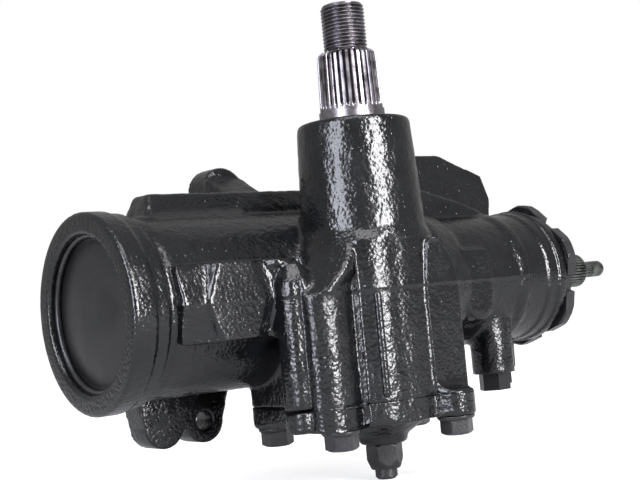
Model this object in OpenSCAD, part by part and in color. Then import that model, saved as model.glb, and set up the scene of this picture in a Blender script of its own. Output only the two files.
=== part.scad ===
// Integral power steering gear: recirculating-ball worm, rack piston, sector shaft and rotary valve.
// Lengths are millimetres. The design frame has X along the worm towards the input shaft, Z up along
// the sector shaft and its centre on the sector shaft at the worm's height. in_frame() then moves the
// whole gear so that the steering arm's seat on the sector shaft lies at the origin.

/* [Gear mesh] */
// Module of the sector and rack teeth
gear_module = 6; // [5.6:0.1:6.2]
// Pressure angle of the teeth
pressure_angle = 28; // [26:0.5:30]
// Tooth height above the pitch line
addendum = 4.4; // [4:0.1:4.6]
// Tooth depth below the pitch line
dedendum = 5.4; // [5:0.1:5.8]
// Flank clearance on each side of a tooth
backlash = 0.15; // [0.1:0.01:0.25]
// Height of the sector and rack teeth along the sector shaft
sector_h = 36; // [28:1:40]
// Distance from the worm's axis to the rack's pitch line
rack_drop = 18.5; // [17.5:0.1:19.5]
// Largest swing of the sector shaft to each side
swing_deg = 40; // [30:1:40]

/* [Sector shaft] */
// Radius of the two plain journals
journal_r = 17.45; // [17:0.05:18]
// Height of the arm's seat above the worm's axis
seat_z = 90; // [88:0.5:96]
// Radius of the neck between the tower and the serrations
neck_r = 16.6; // [16.2:0.1:17]
// Outer diameter of the arm serrations
serration_d = 31.75; // [30:0.05:32]
// Length of the arm serrations
serration_l = 30; // [24:1:34]
// Number of arm serrations
serration_count = 32; // [28:4:36]
// Depth of the arm serrations
serration_depth = 1.7; // [1:0.1:2]
// Loss of radius of the tapered serrations at their top
serration_taper = 0.8; // [0:0.1:1.2]
// Major diameter of the arm nut's thread
arm_thread_d = 22.2; // [20:0.1:24]
// Length of the arm nut's thread
arm_thread_l = 24.4; // [20:0.2:28]

/* [Piston bore] */
// Radius of the piston bore
bore_r = 36; // [35:0.25:37]
// Distance from the sector shaft to the bore's open face
mouth_x = 135.4; // [133:0.2:140]
// Radius of the mouth that holds the end plug
mouth_r = 37.5; // [37.2:0.1:38.2]
// Depth of the mouth
mouth_l = 14.4; // [13.5:0.1:15]
// Radius of the thick end ring
ring_r = 48; // [46.5:0.25:50]
// Width of the thick end ring
ring_w = 12.2; // [10:0.2:13]
// Radius of the band behind the end ring
band_r = 46.8; // [45.5:0.1:47.5]
// Width of the band behind the end ring
band_w = 7.8; // [6:0.2:9]
// Width of the groove behind the band
groove_w = 4.8; // [3:0.2:6]
// Radius of that groove
groove_r = 43; // [42:0.25:44]
// Radius of the barrel
barrel_r = 44; // [43:0.25:45.5]
// Distance from the sector shaft to the inner end of the piston bore
bore_end_x = 60; // [59:0.5:64]

/* [End plug] */
// Gap between the mouth's wall and the edge of the dome
dome_gap = 2.9; // [2.6:0.1:5]
// Height of the dome
dome_h = 6; // [3:0.5:7]
// Thickness of the plug's rim
plug_rim = 5; // [4.5:0.1:6]
// Radius of the retaining wire
wire_r = 1.5; // [1.2:0.1:1.8]
// Radius of an O-ring's cord
o_ring_r = 1.3; // [1:0.1:1.5]

/* [Tower] */
// Height of the tower's top above the worm's axis
tower_z = 84.5; // [82:0.5:86]
// Radius of the tower at its top
tower_r = 28.7; // [28:0.1:30]
// Radius of the tower at its foot
tower_foot_r = 31.4; // [30.5:0.1:33]
// Height of the tower's foot above the worm's axis
tower_foot_z = 30; // [28:0.5:33]
// Radius of the bore for the bearing and seals
tower_bore_r = 22; // [21.5:0.1:23]
// Height where that bore starts
tower_bore_z = 40; // [38:0.5:42]

/* [Sector chamber] */
// Radius of the chamber's round opening
chamber_bore_r = 33; // [32.5:0.25:34]
// Offset of the opening from the sector shaft towards the worm
chamber_bore_y = 7; // [6:0.25:8]
// Radius of the chamber's outer wall
chamber_r = 38.5; // [38:0.25:40]
// Half width of the block that joins the chamber to the barrel
chamber_half_w = 46; // [44:0.5:48]
// Radius of the raised front of the chamber
front_r = 24; // [22:0.5:26]
// Reach of the raised front from the sector shaft
front_reach = 36; // [34:0.5:37]
// Direction of the raised front, seen from above
front_deg = 236; // [226:1:240]
// Distance from the sector shaft where the sloping shoulder starts
shoulder_r = 36; // [34:0.5:38]
// Height of the shoulder there
shoulder_z = 21; // [20:0.5:24]
// Fall of the shoulder for each millimetre outwards
shoulder_fall = 1.25; // [1:0.05:1.5]
// Height of the casting's raised parting seam
seam_h = 1.2; // [0.8:0.1:2]
// How far the parting seam stands proud
seam_out = 0.5; // [0.3:0.1:0.8]

/* [Side cover] */
// Depth of the cover joint below the worm's axis
joint_z = 54.6; // [53:0.2:56]
// Thickness of the cover's plate
cover_t = 11; // [10:0.5:13]
// Radius of the bolt circle
bolt_circle_r = 47; // [46.5:0.25:48]
// Offset of the bolt circle from the sector shaft towards the worm
bolt_circle_y = 10; // [9:0.25:11]
// Directions of the four bolts, seen from above
bolt_degs = [19, 139, 214, 296]; // [0:1:360]
// Radii of the bosses around the four bolts
boss_rs = [12, 11.5, 14, 11]; // [10.5:0.5:15]
// Radius of the right-hand bolt column where its cone ends under the tower
column_top_r = 7.5; // [6:0.5:9]
// Height of that cone's top above the worm's axis
column_top_z = 22; // [18:0.5:24]
// Thickness of the housing's flange at the bolts
flange_t = 9.6; // [8:0.2:12]
// Radius of the bolts' shanks
bolt_r = 4.6; // [4.4:0.1:4.8]
// Depth of the bolts in the housing
bolt_depth = 14; // [12:0.5:15]
// Width across the flats of the bolts' heads
bolt_af = 14.3; // [13:0.1:16]
// Height of the bolts' hexagons
bolt_head_h = 6; // [5:0.25:8]
// Radius of the bolts' round flanges
bolt_flange_r = 9.4; // [9:0.1:10.4]
// Thickness of the bolts' round flanges
bolt_flange_t = 1.6; // [1.4:0.1:2.4]
// Radius of the cover's inner hub
hub_r = 24; // [23.5:0.25:25]
// Height of the hub above the joint
hub_h = 18; // [14:0.5:22]
// Wall of the bushing in the hub
bushing_t = 2.5; // [2:0.1:3]
// Depth of the hub's bore below the joint
hub_bore_depth = 8; // [7:0.25:8.5]
// Radius of the boss around the lash screw
lash_boss_r = 12.4; // [12:0.1:14]
// Height of that boss below the cover's plate
lash_boss_h = 11.8; // [9:0.2:13]

/* [Lash adjuster] */
// Radius of the lash screw
lash_r = 5.55; // [5:0.05:5.8]
// Length of the screw below the boss
lash_out = 17.6; // [16:0.2:20]
// Radius of the screw's head
lash_head_r = 8.4; // [8:0.1:9]
// Thickness of the screw's head
lash_head_t = 3.6; // [3:0.1:4]
// Width across the flats of the lash nut
lash_nut_af = 16; // [15:0.1:17]
// Height of the lash nut
lash_nut_h = 12.6; // [10:0.2:13]
// Height of the nut's tapered lower end
lash_nut_taper = 5; // [3:0.2:6]
// Thickness of the lash shim
shim_t = 1.6; // [1.2:0.1:2]

/* [Rack piston] */
// Length of the rack piston
piston_l = 140; // [136:0.5:142]
// Gap between the piston and the end of its bore at full swing
piston_gap = 1.15; // [1:0.05:2]
// Radius of the ball nut's plain bore
nut_bore_r = 9.7; // [9.5:0.05:10]
// Length of the plug in the piston's closed end
piston_plug_l = 12; // [10:0.5:14]
// Radius of that plug
piston_plug_r = 16; // [15:0.25:18]
// Width of the piston ring
piston_ring_w = 4; // [3:0.25:5]
// Depth of the piston ring's groove
piston_ring_t = 3; // [2:0.25:3.5]

/* [Ball circuit] */
// Radius of a ball
ball_r = 2.78; // [2.6:0.01:2.85]
// Radius of the ball circle about the worm
ball_circle_r = 9.3; // [9.1:0.05:9.4]
// Balls in each turn
balls_per_turn = 10; // [8:1:10]
// Wall of a return guide
guide_t = 0.7; // [0.6:0.05:0.8]
// Balls in a return guide
guide_balls = 4; // [3:1:4]
// Turns of the worm for one turn of the sector shaft
steering_ratio = 16; // [14:0.5:18]

/* [Worm and valve] */
// Radius of the worm over its lands
worm_r = 8.9; // [8.6:0.05:9]
// Distance from the sector shaft to the worm's free end
worm_free_x = 64; // [62:0.5:66]
// Thickness of the web between the piston bore and the valve bore
web_t = 6; // [5:0.25:7]
// Radius of the valve bore
valve_bore_r = 27; // [26.5:0.1:28]
// Length of the valve body
valve_l = 49; // [47:0.5:51]
// Radius of the valve body's bore
valve_in_r = 19; // [18.5:0.1:19.5]
// Thickness of the worm's flange
worm_flange_t = 6; // [5:0.25:7]
// Thickness of a thrust race
race_t = 2; // [1.6:0.1:2.4]
// Thickness of a thrust needle bearing
needle_t = 3; // [2.6:0.1:3.4]
// Radius of the torsion bar
torsion_r = 4; // [3.6:0.1:4.4]

/* [Valve housing and adjuster] */
// Radius of the valve housing
valve_r = 37.3; // [36.5:0.1:38]
// Radius of the rim at its open end
rim_r = 39.5; // [39:0.1:41]
// Width of that rim
rim_w = 6; // [5:0.25:8]
// Length of the adjuster plug's thread in the housing
adjuster_l = 17; // [15:0.5:19]
// Radius of the adjuster plug's thread
adjuster_r = 32; // [31.5:0.1:32.5]
// Length of the adjuster plug outside the housing
adjuster_out = 9; // [8:0.25:11]
// Width of the lock nut
lock_nut_w = 7; // [6:0.25:7.5]
// Radius of the lock nut over its lobes
lock_nut_r = 44; // [43:0.25:46]
// Distance from the sector shaft to the middle of the pad on the valve housing
valve_pad_x = 85; // [83:0.5:88]
// Half width of that pad
valve_pad_half_w = 10; // [8:0.5:11]
// Height of the pad's top above the worm's axis
valve_pad_top = 17; // [14:0.5:19]
// Depth of the middle of the pad's round end below the worm's axis
valve_pad_low = 13; // [10:0.5:15]
// How far the pad stands proud of the valve housing
valve_pad_out = 1.5; // [1:0.1:2.5]
// Number of spanner notches in the lock nut
notch_count = 6; // [5:1:7]
// Width of a spanner notch
notch_w = 10; // [8:0.5:12]
// Depth of a spanner notch
notch_d = 4.2; // [3:0.2:5]
// Room for a spanner around the lock nut
spanner_room = 2; // [1.5:0.1:3]

/* [Input shaft] */
// Radius of the stub shaft
stub_r = 10.4; // [10:0.05:10.6]
// Distance from the sector shaft to the end of the stub's thick part
stub_x = 209; // [204:0.5:214]
// Length of the serrated stretch of the thick part
stub_serration_l = 34; // [28:1:36]
// Number of stub serrations
stub_serration_count = 36; // [30:2:40]
// Depth of the stub serrations
stub_serration_depth = 0.9; // [0.6:0.1:1.2]
// Radius of the thin tip
tip_pin_r = 5; // [4.6:0.1:5.6]
// Length of the thin tip
tip_pin_l = 24; // [20:0.5:30]
// Length of the tip's serrated stretch
tip_serration_l = 12; // [8:0.5:14]
// Number of tip serrations
tip_serration_count = 20; // [16:2:24]

/* [Oil gallery and side bar] */
// Height of the gallery's top above the worm's axis
gallery_z = 56; // [54:0.5:58]
// Distance from the sector shaft to the gallery's outer end
gallery_x = 101; // [98:0.5:104]
// Width of the gallery
gallery_w = 22; // [20:0.5:24]
// Offset of the gallery's middle past the worm's axis
gallery_off = 5; // [3:0.5:7]
// Chamfer along the gallery's front edge
gallery_chamfer = 10; // [8:0.5:11]
// Distance past the sector shaft where the gallery's sloping flank ends
flank_y = 21; // [18:0.5:24]
// Height where that flank ends
flank_z = 35.5; // [34:0.5:37]
// Half height of the side bar
bar_half_h = 18; // [16:0.5:20]
// Reach of the side bar's ledges from the worm's axis
bar_reach = 50; // [49:0.25:52]
// Depth of the pockets beside the pad
pocket_d = 3.2; // [2:0.2:4]
// Distance from the sector shaft to the pad's middle
pad_x = 81.5; // [80:0.5:83]
// Half width of the pad at its waist
pad_half_w = 16.5; // [15:0.5:18]

/* [Frame lugs] */
// Distance from the worm's axis to the frame's face
lug_face_y = 45.5; // [45:0.25:47]
// Thickness of the lugs
lug_t = 17; // [15:0.5:18]
// Radius of the tapped holes in the lugs
tap_r = 4.8; // [4.5:0.1:5.2]
// Depth of the blind tapped holes
tap_depth = 14; // [12:0.5:14.5]
// Height of the upper pair of holes
upper_hole_z = 60; // [58:0.5:62]
// Place of the upper pair of holes along the worm
upper_hole_xs = [-32, 120]; // [-40:1:130]
// Depth of the lower pair of holes below the worm's axis
lower_hole_z = 60; // [58:0.5:62]
// Place of the lower pair of holes along the worm
lower_hole_xs = [-81, -57]; // [-90:1:-50]
// Radius of the upper lugs' rounded ends
lug_r = 12.6; // [12:0.2:14]
// Radius of the lower lugs' rounded ends
lower_lug_r = 11.6; // [11:0.2:12]

/* [Oil ports] */
// Places of the two ports, along the worm and across from the sector shaft
port_xys = [[107.7, 25.5], [138, 53.5]]; // [20:0.5:142]
// Radius of the port bosses
port_boss_r = 12; // [11:0.25:12.5]
// Depth of the port faces below the worm's axis
port_z = 54; // [52:0.5:56]
// Radius of the ports
port_r = 7.5; // [7:0.1:8]
// Depth of the ports
port_depth = 16; // [14:0.5:18]
// Width across the flats of a port plug
port_plug_af = 15.6; // [15:0.1:18]
// Height of a port plug's head
port_plug_h = 9.4; // [8:0.2:11]

/* [Fits] */
// Radial clearance of shafts in bearings and pistons in bores
running = 0.05; // [0.02:0.01:0.08]
// Clearance between sealed pieces that do not rub
slip = 0.3; // [0.2:0.05:0.4]

/* [Hidden] */
$fn = 72;

// Gear mesh, worked out from the module; the sector is part of a wheel of nine teeth
full_circle_teeth = 9;
pitch_r = gear_module * full_circle_teeth / 2;
tooth_pitch = PI * gear_module;
tip_r = pitch_r + addendum;
root_r = pitch_r - dedendum;
base_r = pitch_r * cos(pressure_angle);
worm_y = pitch_r + rack_drop;
travel = pitch_r * swing_deg * PI / 180;
lead = 2 * PI * pitch_r / steering_ratio;
ball_turns = 2.5;

// Stations along the worm
ring_x0 = -mouth_x;
band_x0 = ring_x0 + ring_w;
groove_x0 = band_x0 + band_w;
barrel_x0 = groove_x0 + groove_w;
plug_x1 = ring_x0 + mouth_l;
plug_x0 = plug_x1 - plug_rim - 2 * wire_r;
web_x1 = bore_end_x + web_t;
low_bearing_x = web_x1 + race_t;
low_race_x = low_bearing_x + needle_t;
worm_flange_x = low_race_x + race_t;
valve_x0 = worm_flange_x + worm_flange_t;
valve_x1 = valve_x0 + valve_l;
up_bearing_x = valve_x1 + race_t;
up_race_x = up_bearing_x + needle_t;
adjuster_x0 = up_race_x + race_t;
adjuster_nose = 5;
bar_in = 4;
bar_out = 6;
thread_x0 = adjuster_x0 + adjuster_nose;
valve_end_x = thread_x0 + adjuster_l;
adjuster_x1 = valve_end_x + adjuster_out;
piston_x = bore_end_x - travel - piston_gap;
piston_x0 = piston_x - piston_l;
lock_nut_x1 = valve_end_x + lock_nut_w;

// Stations of the stub's bearing and seals in the adjuster plug
lip_t = 2;
stub_bearing_t = 5;
stub_bearing_r = stub_r + stub_bearing_t;
stub_bearing_l = 13;
stub_seal_l = 6;
stub_dust_l = 4;
stub_snap_l = 1.5;
stub_bearing_x = adjuster_x0 + lip_t;
stub_seal_x = stub_bearing_x + stub_bearing_l;
stub_dust_x = stub_seal_x + stub_seal_l;
stub_snap_x = stub_dust_x + stub_dust_l;

// Seal grooves and oil holes of the valve body
valve_ring_w = 3;
valve_ring_t = 2.4;
valve_ring_edge = 6;
valve_hole_r = 2;
valve_ring_step = (valve_l - 2 * valve_ring_edge - valve_ring_w) / 2;
valve_ring_xs = [for (k = [0 : 2]) valve_x0 + valve_ring_edge + k * valve_ring_step];
valve_hole_xs = [for (k = [0 : 1]) (valve_ring_xs[k] + valve_ring_xs[k + 1] + valve_ring_w) / 2];

// Ball return guide and its clamp
guide_out_r = ball_r + running + guide_t;
guide_span = ball_turns * lead / 2;
guide_foot = nut_bore_r + 2;
guide_flat_y = worm_y + guide_foot + guide_span / 2 + 1;
clamp_t = 1.5;
clamp_w = 10;
clamp_screw_r = 1.9;
clamp_screw_l = 8;
clamp_head_r = 2.6;
clamp_screw_z = guide_out_r + clamp_t + 4.4;

// Levels along the sector shaft
cover_z = joint_z + cover_t;
lash_boss_z = cover_z + lash_boss_h;
hub_floor_z = joint_z + hub_bore_depth;
shaft_foot_z = hub_floor_z - 2 * slip;
pocket_h = lash_head_t + shim_t + 2 * slip;
chamber_top_z = sector_h / 2 + 3;
bearing_l = 24;
seal_l = 6;
washer_l = 1.6;
dust_seal_l = 5;
snap_l = 1.6;
seal_z = tower_bore_z + bearing_l;
washer_z = seal_z + seal_l;
dust_seal_z = washer_z + washer_l;
snap_z = dust_seal_z + dust_seal_l;

// Places on the chamber and the side cover
over = 1;
chamber_back = 4;
block_back = 5;
chamber_y = bolt_circle_y - chamber_back;
block_y = bolt_circle_y - block_back;
front_xy = (front_reach - front_r) * [cos(front_deg), sin(front_deg)];
seal_groove_r = chamber_bore_r + 2;
bolt_xys = [for (a = bolt_degs) [bolt_circle_r * cos(a), bolt_circle_y + bolt_circle_r * sin(a)]];
bushing_r = journal_r + running + bushing_t;
lash_head_z = slip - shaft_foot_z;

// End plug, its ring and the lugs
dome_r = mouth_r - dome_gap;
wire_in = 0.3;
plug_groove_x = plug_x1 - plug_rim / 2;
adjuster_groove_x = adjuster_x0 + adjuster_nose / 2;
lug_back_y = worm_y + lug_face_y;
lug_front_y = lug_back_y - lug_t;
gallery_y = worm_y + gallery_off - gallery_w / 2;
bar_face_y = worm_y - bar_reach;

// Moves the gear from its design frame to the arm's seat
module in_frame() {
    translate([0, 0, -seat_z]) children();
}

// Turns a piece that was made along Z so that it lies along the worm
module along_worm() {
    translate([0, worm_y, 0]) rotate([0, 90, 0]) children();
}

// A turned piece about the worm's axis, from [radius, station] points
module turned(points) {
    along_worm() rotate_extrude() polygon(points);
}

// A plain sleeve about the worm's axis
module sleeve(x0, x1, r_in, r_out) {
    turned([[r_in, x0], [r_out, x0], [r_out, x1], [r_in, x1]]);
}

// A plain washer or bush about the sector shaft
module bush(z0, h, r_in, r_out) {
    translate([0, 0, z0]) rotate_extrude() translate([r_in, 0]) square([r_out - r_in, h]);
}

// A flat outline in the X and Z directions, given thickness from y0 to y1
module across(y0, y1) {
    translate([0, y1, 0]) rotate([90, 0, 0]) linear_extrude(y1 - y0) children();
}

// A flat outline in the Y and Z directions, given length from x0 to x1
module lengthwise(x0, x1) {
    translate([x0, 0, 0]) rotate([90, 0, 90]) linear_extrude(x1 - x0) children();
}

// Serrations with flat crowns: the points of a star are cut off by the circle of radius r
module star(r, depth, count) {
    point = depth * 0.35;
    intersection() {
        circle(r);
        polygon([for (i = [0 : 2 * count - 1])
            (r + point - (i % 2) * (depth + point)) * [cos(180 * i / count), sin(180 * i / count)]]);
    }
}

// Hexagon across the flats
module hexagon(af) {
    circle(r = af / sqrt(3), $fn = 6);
}

// Involute of the base circle at the angle where its radius is r, in degrees from its foot
function involute_deg(r) = let (a = acos(min(1, base_r / r))) tan(a) * 180 / PI - a;
function flank_half_deg(r) = (tooth_pitch / 4 - backlash) / pitch_r * 180 / PI
    + involute_deg(pitch_r) - involute_deg(max(r, base_r));

// One tooth of the sector, pointing along +Y
module sector_tooth() {
    steps = 8;
    foot_r = root_r - over;
    radii = [for (i = [0 : steps]) foot_r + (tip_r - foot_r) * i / steps];
    right = [for (r = radii) r * [sin(flank_half_deg(r)), cos(flank_half_deg(r))]];
    left = [for (i = [steps : -1 : 0]) [-right[i][0], right[i][1]]];
    polygon(concat(right, left));
}

// The gap between rack teeth is left by straight-sided teeth at plus and minus half a pitch
module rack_tooth(x) {
    half = tooth_pitch / 4 - backlash;
    lean = tan(pressure_angle);
    root = dedendum + over;
    polygon([[x - half + addendum * lean, pitch_r - addendum],
        [x + half - addendum * lean, pitch_r - addendum],
        [x + half + root * lean, pitch_r + root], [x - half - root * lean, pitch_r + root]]);
}

// Outline of the chamber's walls and bolt columns, seen along the sector shaft
module chamber_outline() {
    translate([0, chamber_y]) circle(chamber_r);
    translate(front_xy) circle(front_r);
    translate([-chamber_half_w, block_y]) square([2 * chamber_half_w, worm_y - block_y]);
    translate(bolt_xys[2]) circle(boss_rs[2]);
}

// Outline of the cover and of the flange that it is bolted to
module flange_outline() {
    chamber_outline();
    for (i = [0 : 3]) translate(bolt_xys[i]) circle(boss_rs[i]);
    polygon([bolt_xys[0] + [0, boss_rs[0]], bolt_xys[1] + [0, boss_rs[1]],
        bolt_xys[1] - [boss_rs[1], 0], [-chamber_half_w, bolt_circle_y],
        [chamber_half_w, bolt_circle_y], bolt_xys[0] + [boss_rs[0], 0]]);
}

// The sloping shoulder that the chamber's walls end on, up to the tower's foot
module shoulder_form() {
    fall_end = 30;
    foot_out = 2;
    foot_rise = 4;
    rotate_extrude() polygon([[0, -joint_z], [shoulder_r + fall_end, -joint_z],
        [shoulder_r + fall_end, shoulder_z - shoulder_fall * fall_end], [shoulder_r, shoulder_z],
        [tower_foot_r + foot_out, tower_foot_z - foot_rise], [tower_foot_r, tower_foot_z],
        [0, tower_foot_z]]);
}

module chamber_form() {
    intersection() {
        translate([0, 0, -joint_z]) linear_extrude(joint_z + tower_foot_z) chamber_outline();
        shoulder_form();
    }
    translate([bolt_xys[3][0], bolt_xys[3][1], 0]) {
        translate([0, 0, -joint_z]) cylinder(h = joint_z, r = boss_rs[3]);
        cylinder(h = column_top_z, r1 = boss_rs[3], r2 = column_top_r);
    }
}

// Round tower for the shaft's bearing and seals, with a broken edge at its top
module tower_form() {
    edge = 2;
    rotate_extrude() polygon([[0, 0], [tower_foot_r, 0], [tower_foot_r, tower_foot_z],
        [tower_r, tower_z - edge], [tower_r - edge / 2, tower_z - edge / 3], [tower_r - edge, tower_z],
        [0, tower_z]]);
}

// Barrel, end ring and valve housing, turned about the worm's axis
module barrel_form() {
    edge = 1.2;
    neck = 10;
    neck_r_in = 3;
    turned([[0, ring_x0], [ring_r - edge, ring_x0], [ring_r, ring_x0 + edge], [ring_r, band_x0 - edge],
        [band_r, band_x0], [band_r, groove_x0 - edge], [groove_r, groove_x0], [groove_r, barrel_x0 - edge],
        [barrel_r, barrel_x0], [barrel_r, bore_end_x], [valve_r + neck_r_in, web_x1 + neck],
        [valve_r, web_x1 + neck + neck_r_in], [valve_r, valve_end_x - rim_w - edge],
        [rim_r, valve_end_x - rim_w], [rim_r, valve_end_x - edge], [rim_r - edge, valve_end_x],
        [0, valve_end_x]]);
}

// Oil gallery cast along the top of the barrel, from the end ring to the valve housing
module gallery_form() {
    y0 = gallery_y;
    y1 = y0 + gallery_w;
    end_chamfer = 5;
    lean = gallery_chamfer * 0.6;
    inner_x = up_race_x;
    flank_x1 = -chamber_half_w;
    intersection() {
        lengthwise(-gallery_x, inner_x) polygon([[y0, 0], [y0, gallery_z - gallery_chamfer],
            [y0 + lean, gallery_z], [y1, gallery_z], [y1 + lean, 0]]);
        across(y0 - gallery_w, y1 + gallery_w) polygon([[-gallery_x, 0],
            [-gallery_x, gallery_z - gallery_chamfer], [-gallery_x + end_chamfer, gallery_z],
            [valve_x0, gallery_z], [inner_x, valve_r], [inner_x, 0]]);
    }
    lengthwise(-gallery_x, flank_x1) polygon([[y0, 0], [flank_y, 0], [flank_y, flank_z],
        [y0, gallery_z - gallery_chamfer]]);
}

// Side bar with a six-sided pad between two pockets, on the side of the sector shaft
module side_bar_form() {
    ledge = 3;
    x0 = barrel_x0;
    x1 = -chamber_half_w;
    across(bar_face_y + pocket_d, worm_y) polygon([[x0, -bar_half_h], [x1, -bar_half_h],
        [x1, bar_half_h], [x0, bar_half_h]]);
    for (s = [-1, 1]) across(bar_face_y, worm_y) polygon([[x0 + ledge, s * (bar_half_h - ledge)],
        [x1, s * (bar_half_h - ledge)], [x1, s * bar_half_h], [x0 + ledge, s * bar_half_h]]);
    top_half_w = pad_half_w * 0.68;
    across(bar_face_y, worm_y) polygon([for (p = [[-pad_half_w, 0], [-top_half_w, bar_half_h],
        [top_half_w, bar_half_h], [pad_half_w, 0], [top_half_w, -bar_half_h], [-top_half_w, -bar_half_h]])
        [p[0] - pad_x, p[1]]]);
}

// Upper front lug: a rounded ear with a wide foot, and a web sloping down over the gallery
module upper_lug_form() {
    foot = 8;
    x = upper_hole_xs[0];
    across(lug_front_y, lug_back_y) {
        translate([x, upper_hole_z]) circle(lug_r);
        polygon([[x - lug_r, upper_hole_z], [x + lug_r, upper_hole_z],
            [x + lug_r + foot, bar_half_h], [x + lug_r + foot, -bar_half_h],
            [x - lug_r - foot, -bar_half_h], [x - lug_r - foot, bar_half_h]]);
    }
    lengthwise(x - lug_r, x + lug_r) polygon([[lug_front_y, 0], [lug_front_y, upper_hole_z + lug_r / 2],
        [gallery_y, gallery_z - gallery_chamfer], [gallery_y, 0]]);
}

// Upper rear lug: a plate beside the valve housing
module rear_lug_form() {
    x = upper_hole_xs[1];
    front_w = 34;
    slope_w = 10;
    rise = 18.5;
    top_z = upper_hole_z + rise;
    across(lug_front_y, lug_back_y) polygon([[x - front_w, -bar_half_h], [x - front_w, top_z - slope_w],
        [x - front_w + slope_w, top_z], [x + slope_w - 2, top_z], [x + valve_r + 5, upper_hole_z + 5],
        [x + valve_r + slope_w + 1, upper_hole_z - slope_w], [x + valve_r, -bar_half_h]]);
}

// Lower lugs: two rounded ears on one foot
module lower_lug_form() {
    foot = 8;
    x0 = lower_hole_xs[0] - lower_lug_r;
    x1 = lower_hole_xs[1] + lower_lug_r;
    across(lug_front_y, lug_back_y) {
        for (x = lower_hole_xs) translate([x, -lower_hole_z]) circle(lower_lug_r);
        polygon([[x0, -lower_hole_z], [x1, -lower_hole_z], [x1 + 2 * foot, -bar_half_h],
            [x0 - foot, -bar_half_h]]);
    }
}

// Bosses of the two oil ports
module port_forms() {
    for (p = port_xys) translate([p[0], p[1], -port_z]) cylinder(h = port_z, r = port_boss_r);
}

// Flat pad with a round lower end on the front of the valve housing
module valve_pad_form() {
    across(worm_y - valve_r - valve_pad_out, worm_y) {
        translate([valve_pad_x, -valve_pad_low]) circle(valve_pad_half_w);
        translate([valve_pad_x - valve_pad_half_w, -valve_pad_low])
            square([2 * valve_pad_half_w, valve_pad_low + valve_pad_top]);
    }
}

// Raised seam where the halves of the casting mould met
module seam_form() {
    translate([0, 0, -seam_h / 2]) linear_extrude(seam_h) intersection() {
        union() {
            translate([0, chamber_y]) circle(chamber_r + seam_out);
            translate(front_xy) circle(front_r + seam_out);
        }
        translate([-chamber_half_w, -chamber_half_w]) square(2 * [chamber_half_w, chamber_half_w]);
    }
    translate([barrel_x0, worm_y - barrel_r - seam_out, -seam_h / 2])
        cube([bore_end_x - barrel_x0, barrel_r, seam_h]);
    translate([web_x1, worm_y - valve_r - seam_out, -seam_h / 2])
        cube([valve_end_x - rim_w - web_x1, valve_r, seam_h]);
}

// Piston bore, valve bore and the mouth with its ring groove
module worm_bores() {
    turned([[0, ring_x0 - over], [mouth_r + over, ring_x0 - over], [mouth_r + over, ring_x0],
        [mouth_r, ring_x0 + over], [mouth_r, plug_x1], [bore_r, plug_x1], [bore_r, bore_end_x],
        [0, bore_end_x]]);
    along_worm() translate([0, 0, plug_x0 - wire_r]) rotate_extrude()
        translate([mouth_r - wire_in, 0]) circle(wire_r);
    turned([[0, bore_end_x - over], [journal_r, bore_end_x - over], [journal_r, web_x1],
        [valve_bore_r, web_x1], [valve_bore_r, thread_x0], [adjuster_r, thread_x0],
        [adjuster_r, valve_end_x + over], [0, valve_end_x + over]]);
    sleeve(valve_end_x, valve_end_x + lug_t + lock_nut_r, 0, lock_nut_r + spanner_room);
}

// Chamber, shaft bore and bearing seat about the sector shaft
module sector_bores() {
    shaft_room = 2;
    translate([0, chamber_bore_y, -joint_z - over])
        cylinder(h = joint_z + chamber_top_z + over, r = chamber_bore_r);
    cylinder(h = tower_z, r = journal_r + shaft_room);
    translate([0, 0, tower_bore_z]) cylinder(h = tower_z, r = tower_bore_r);
    for (p = bolt_xys) translate([p[0], p[1], -joint_z - over])
        cylinder(h = bolt_depth + 2 * over, r = bolt_r);
}

// Oil ports and the tapped holes in the lugs
module small_bores() {
    for (p = port_xys) translate([p[0], p[1], -port_z - over]) {
        cylinder(h = port_depth + over, r = port_r);
        cylinder(h = port_z, r = port_r / 2);
    }
    blind = [[upper_hole_xs[0], upper_hole_z], [upper_hole_xs[1], upper_hole_z],
        [lower_hole_xs[0], -lower_hole_z]];
    for (p = blind) translate([p[0], lug_back_y + over, p[1]]) rotate([90, 0, 0])
        cylinder(h = tap_depth + over, r = tap_r);
    translate([lower_hole_xs[1], lug_back_y + over, -lower_hole_z]) rotate([90, 0, 0])
        cylinder(h = lug_t + 2 * over, r = tap_r);
}

module housing() {
    color("#24262a") in_frame() difference() {
        union() {
            barrel_form();
            chamber_form();
            translate([0, 0, -joint_z]) linear_extrude(flange_t) flange_outline();
            tower_form();
            gallery_form();
            side_bar_form();
            upper_lug_form();
            rear_lug_form();
            lower_lug_form();
            port_forms();
            valve_pad_form();
            seam_form();
        }
        worm_bores();
        sector_bores();
        small_bores();
    }
}

// Domed cap in the bore's mouth, with a groove for its O-ring
module end_plug() {
    sphere_r = (dome_r * dome_r + dome_h * dome_h) / (2 * dome_h);
    color("#3a3b3f") in_frame() difference() {
        union() {
            sleeve(plug_x0, plug_x1, 0, mouth_r - running);
            along_worm() rotate_extrude() intersection() {
                translate([0, plug_x0 - dome_h + sphere_r]) circle(sphere_r, $fn = 360);
                translate([0, plug_x0 - dome_h]) square([dome_r, dome_h + plug_rim]);
            }
        }
        sleeve(plug_groove_x - o_ring_r, plug_groove_x + o_ring_r, mouth_r - 2 * o_ring_r, mouth_r + over);
    }
}

module end_plug_o_ring() {
    color("#151515") in_frame() along_worm() translate([0, 0, plug_groove_x]) rotate_extrude()
        translate([mouth_r - o_ring_r, 0]) circle(o_ring_r);
}

module end_plug_retaining_ring() {
    color("#55565a") in_frame() along_worm() translate([0, 0, plug_x0 - wire_r]) rotate_extrude()
        translate([mouth_r - wire_in, 0]) circle(wire_r);
}

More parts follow.
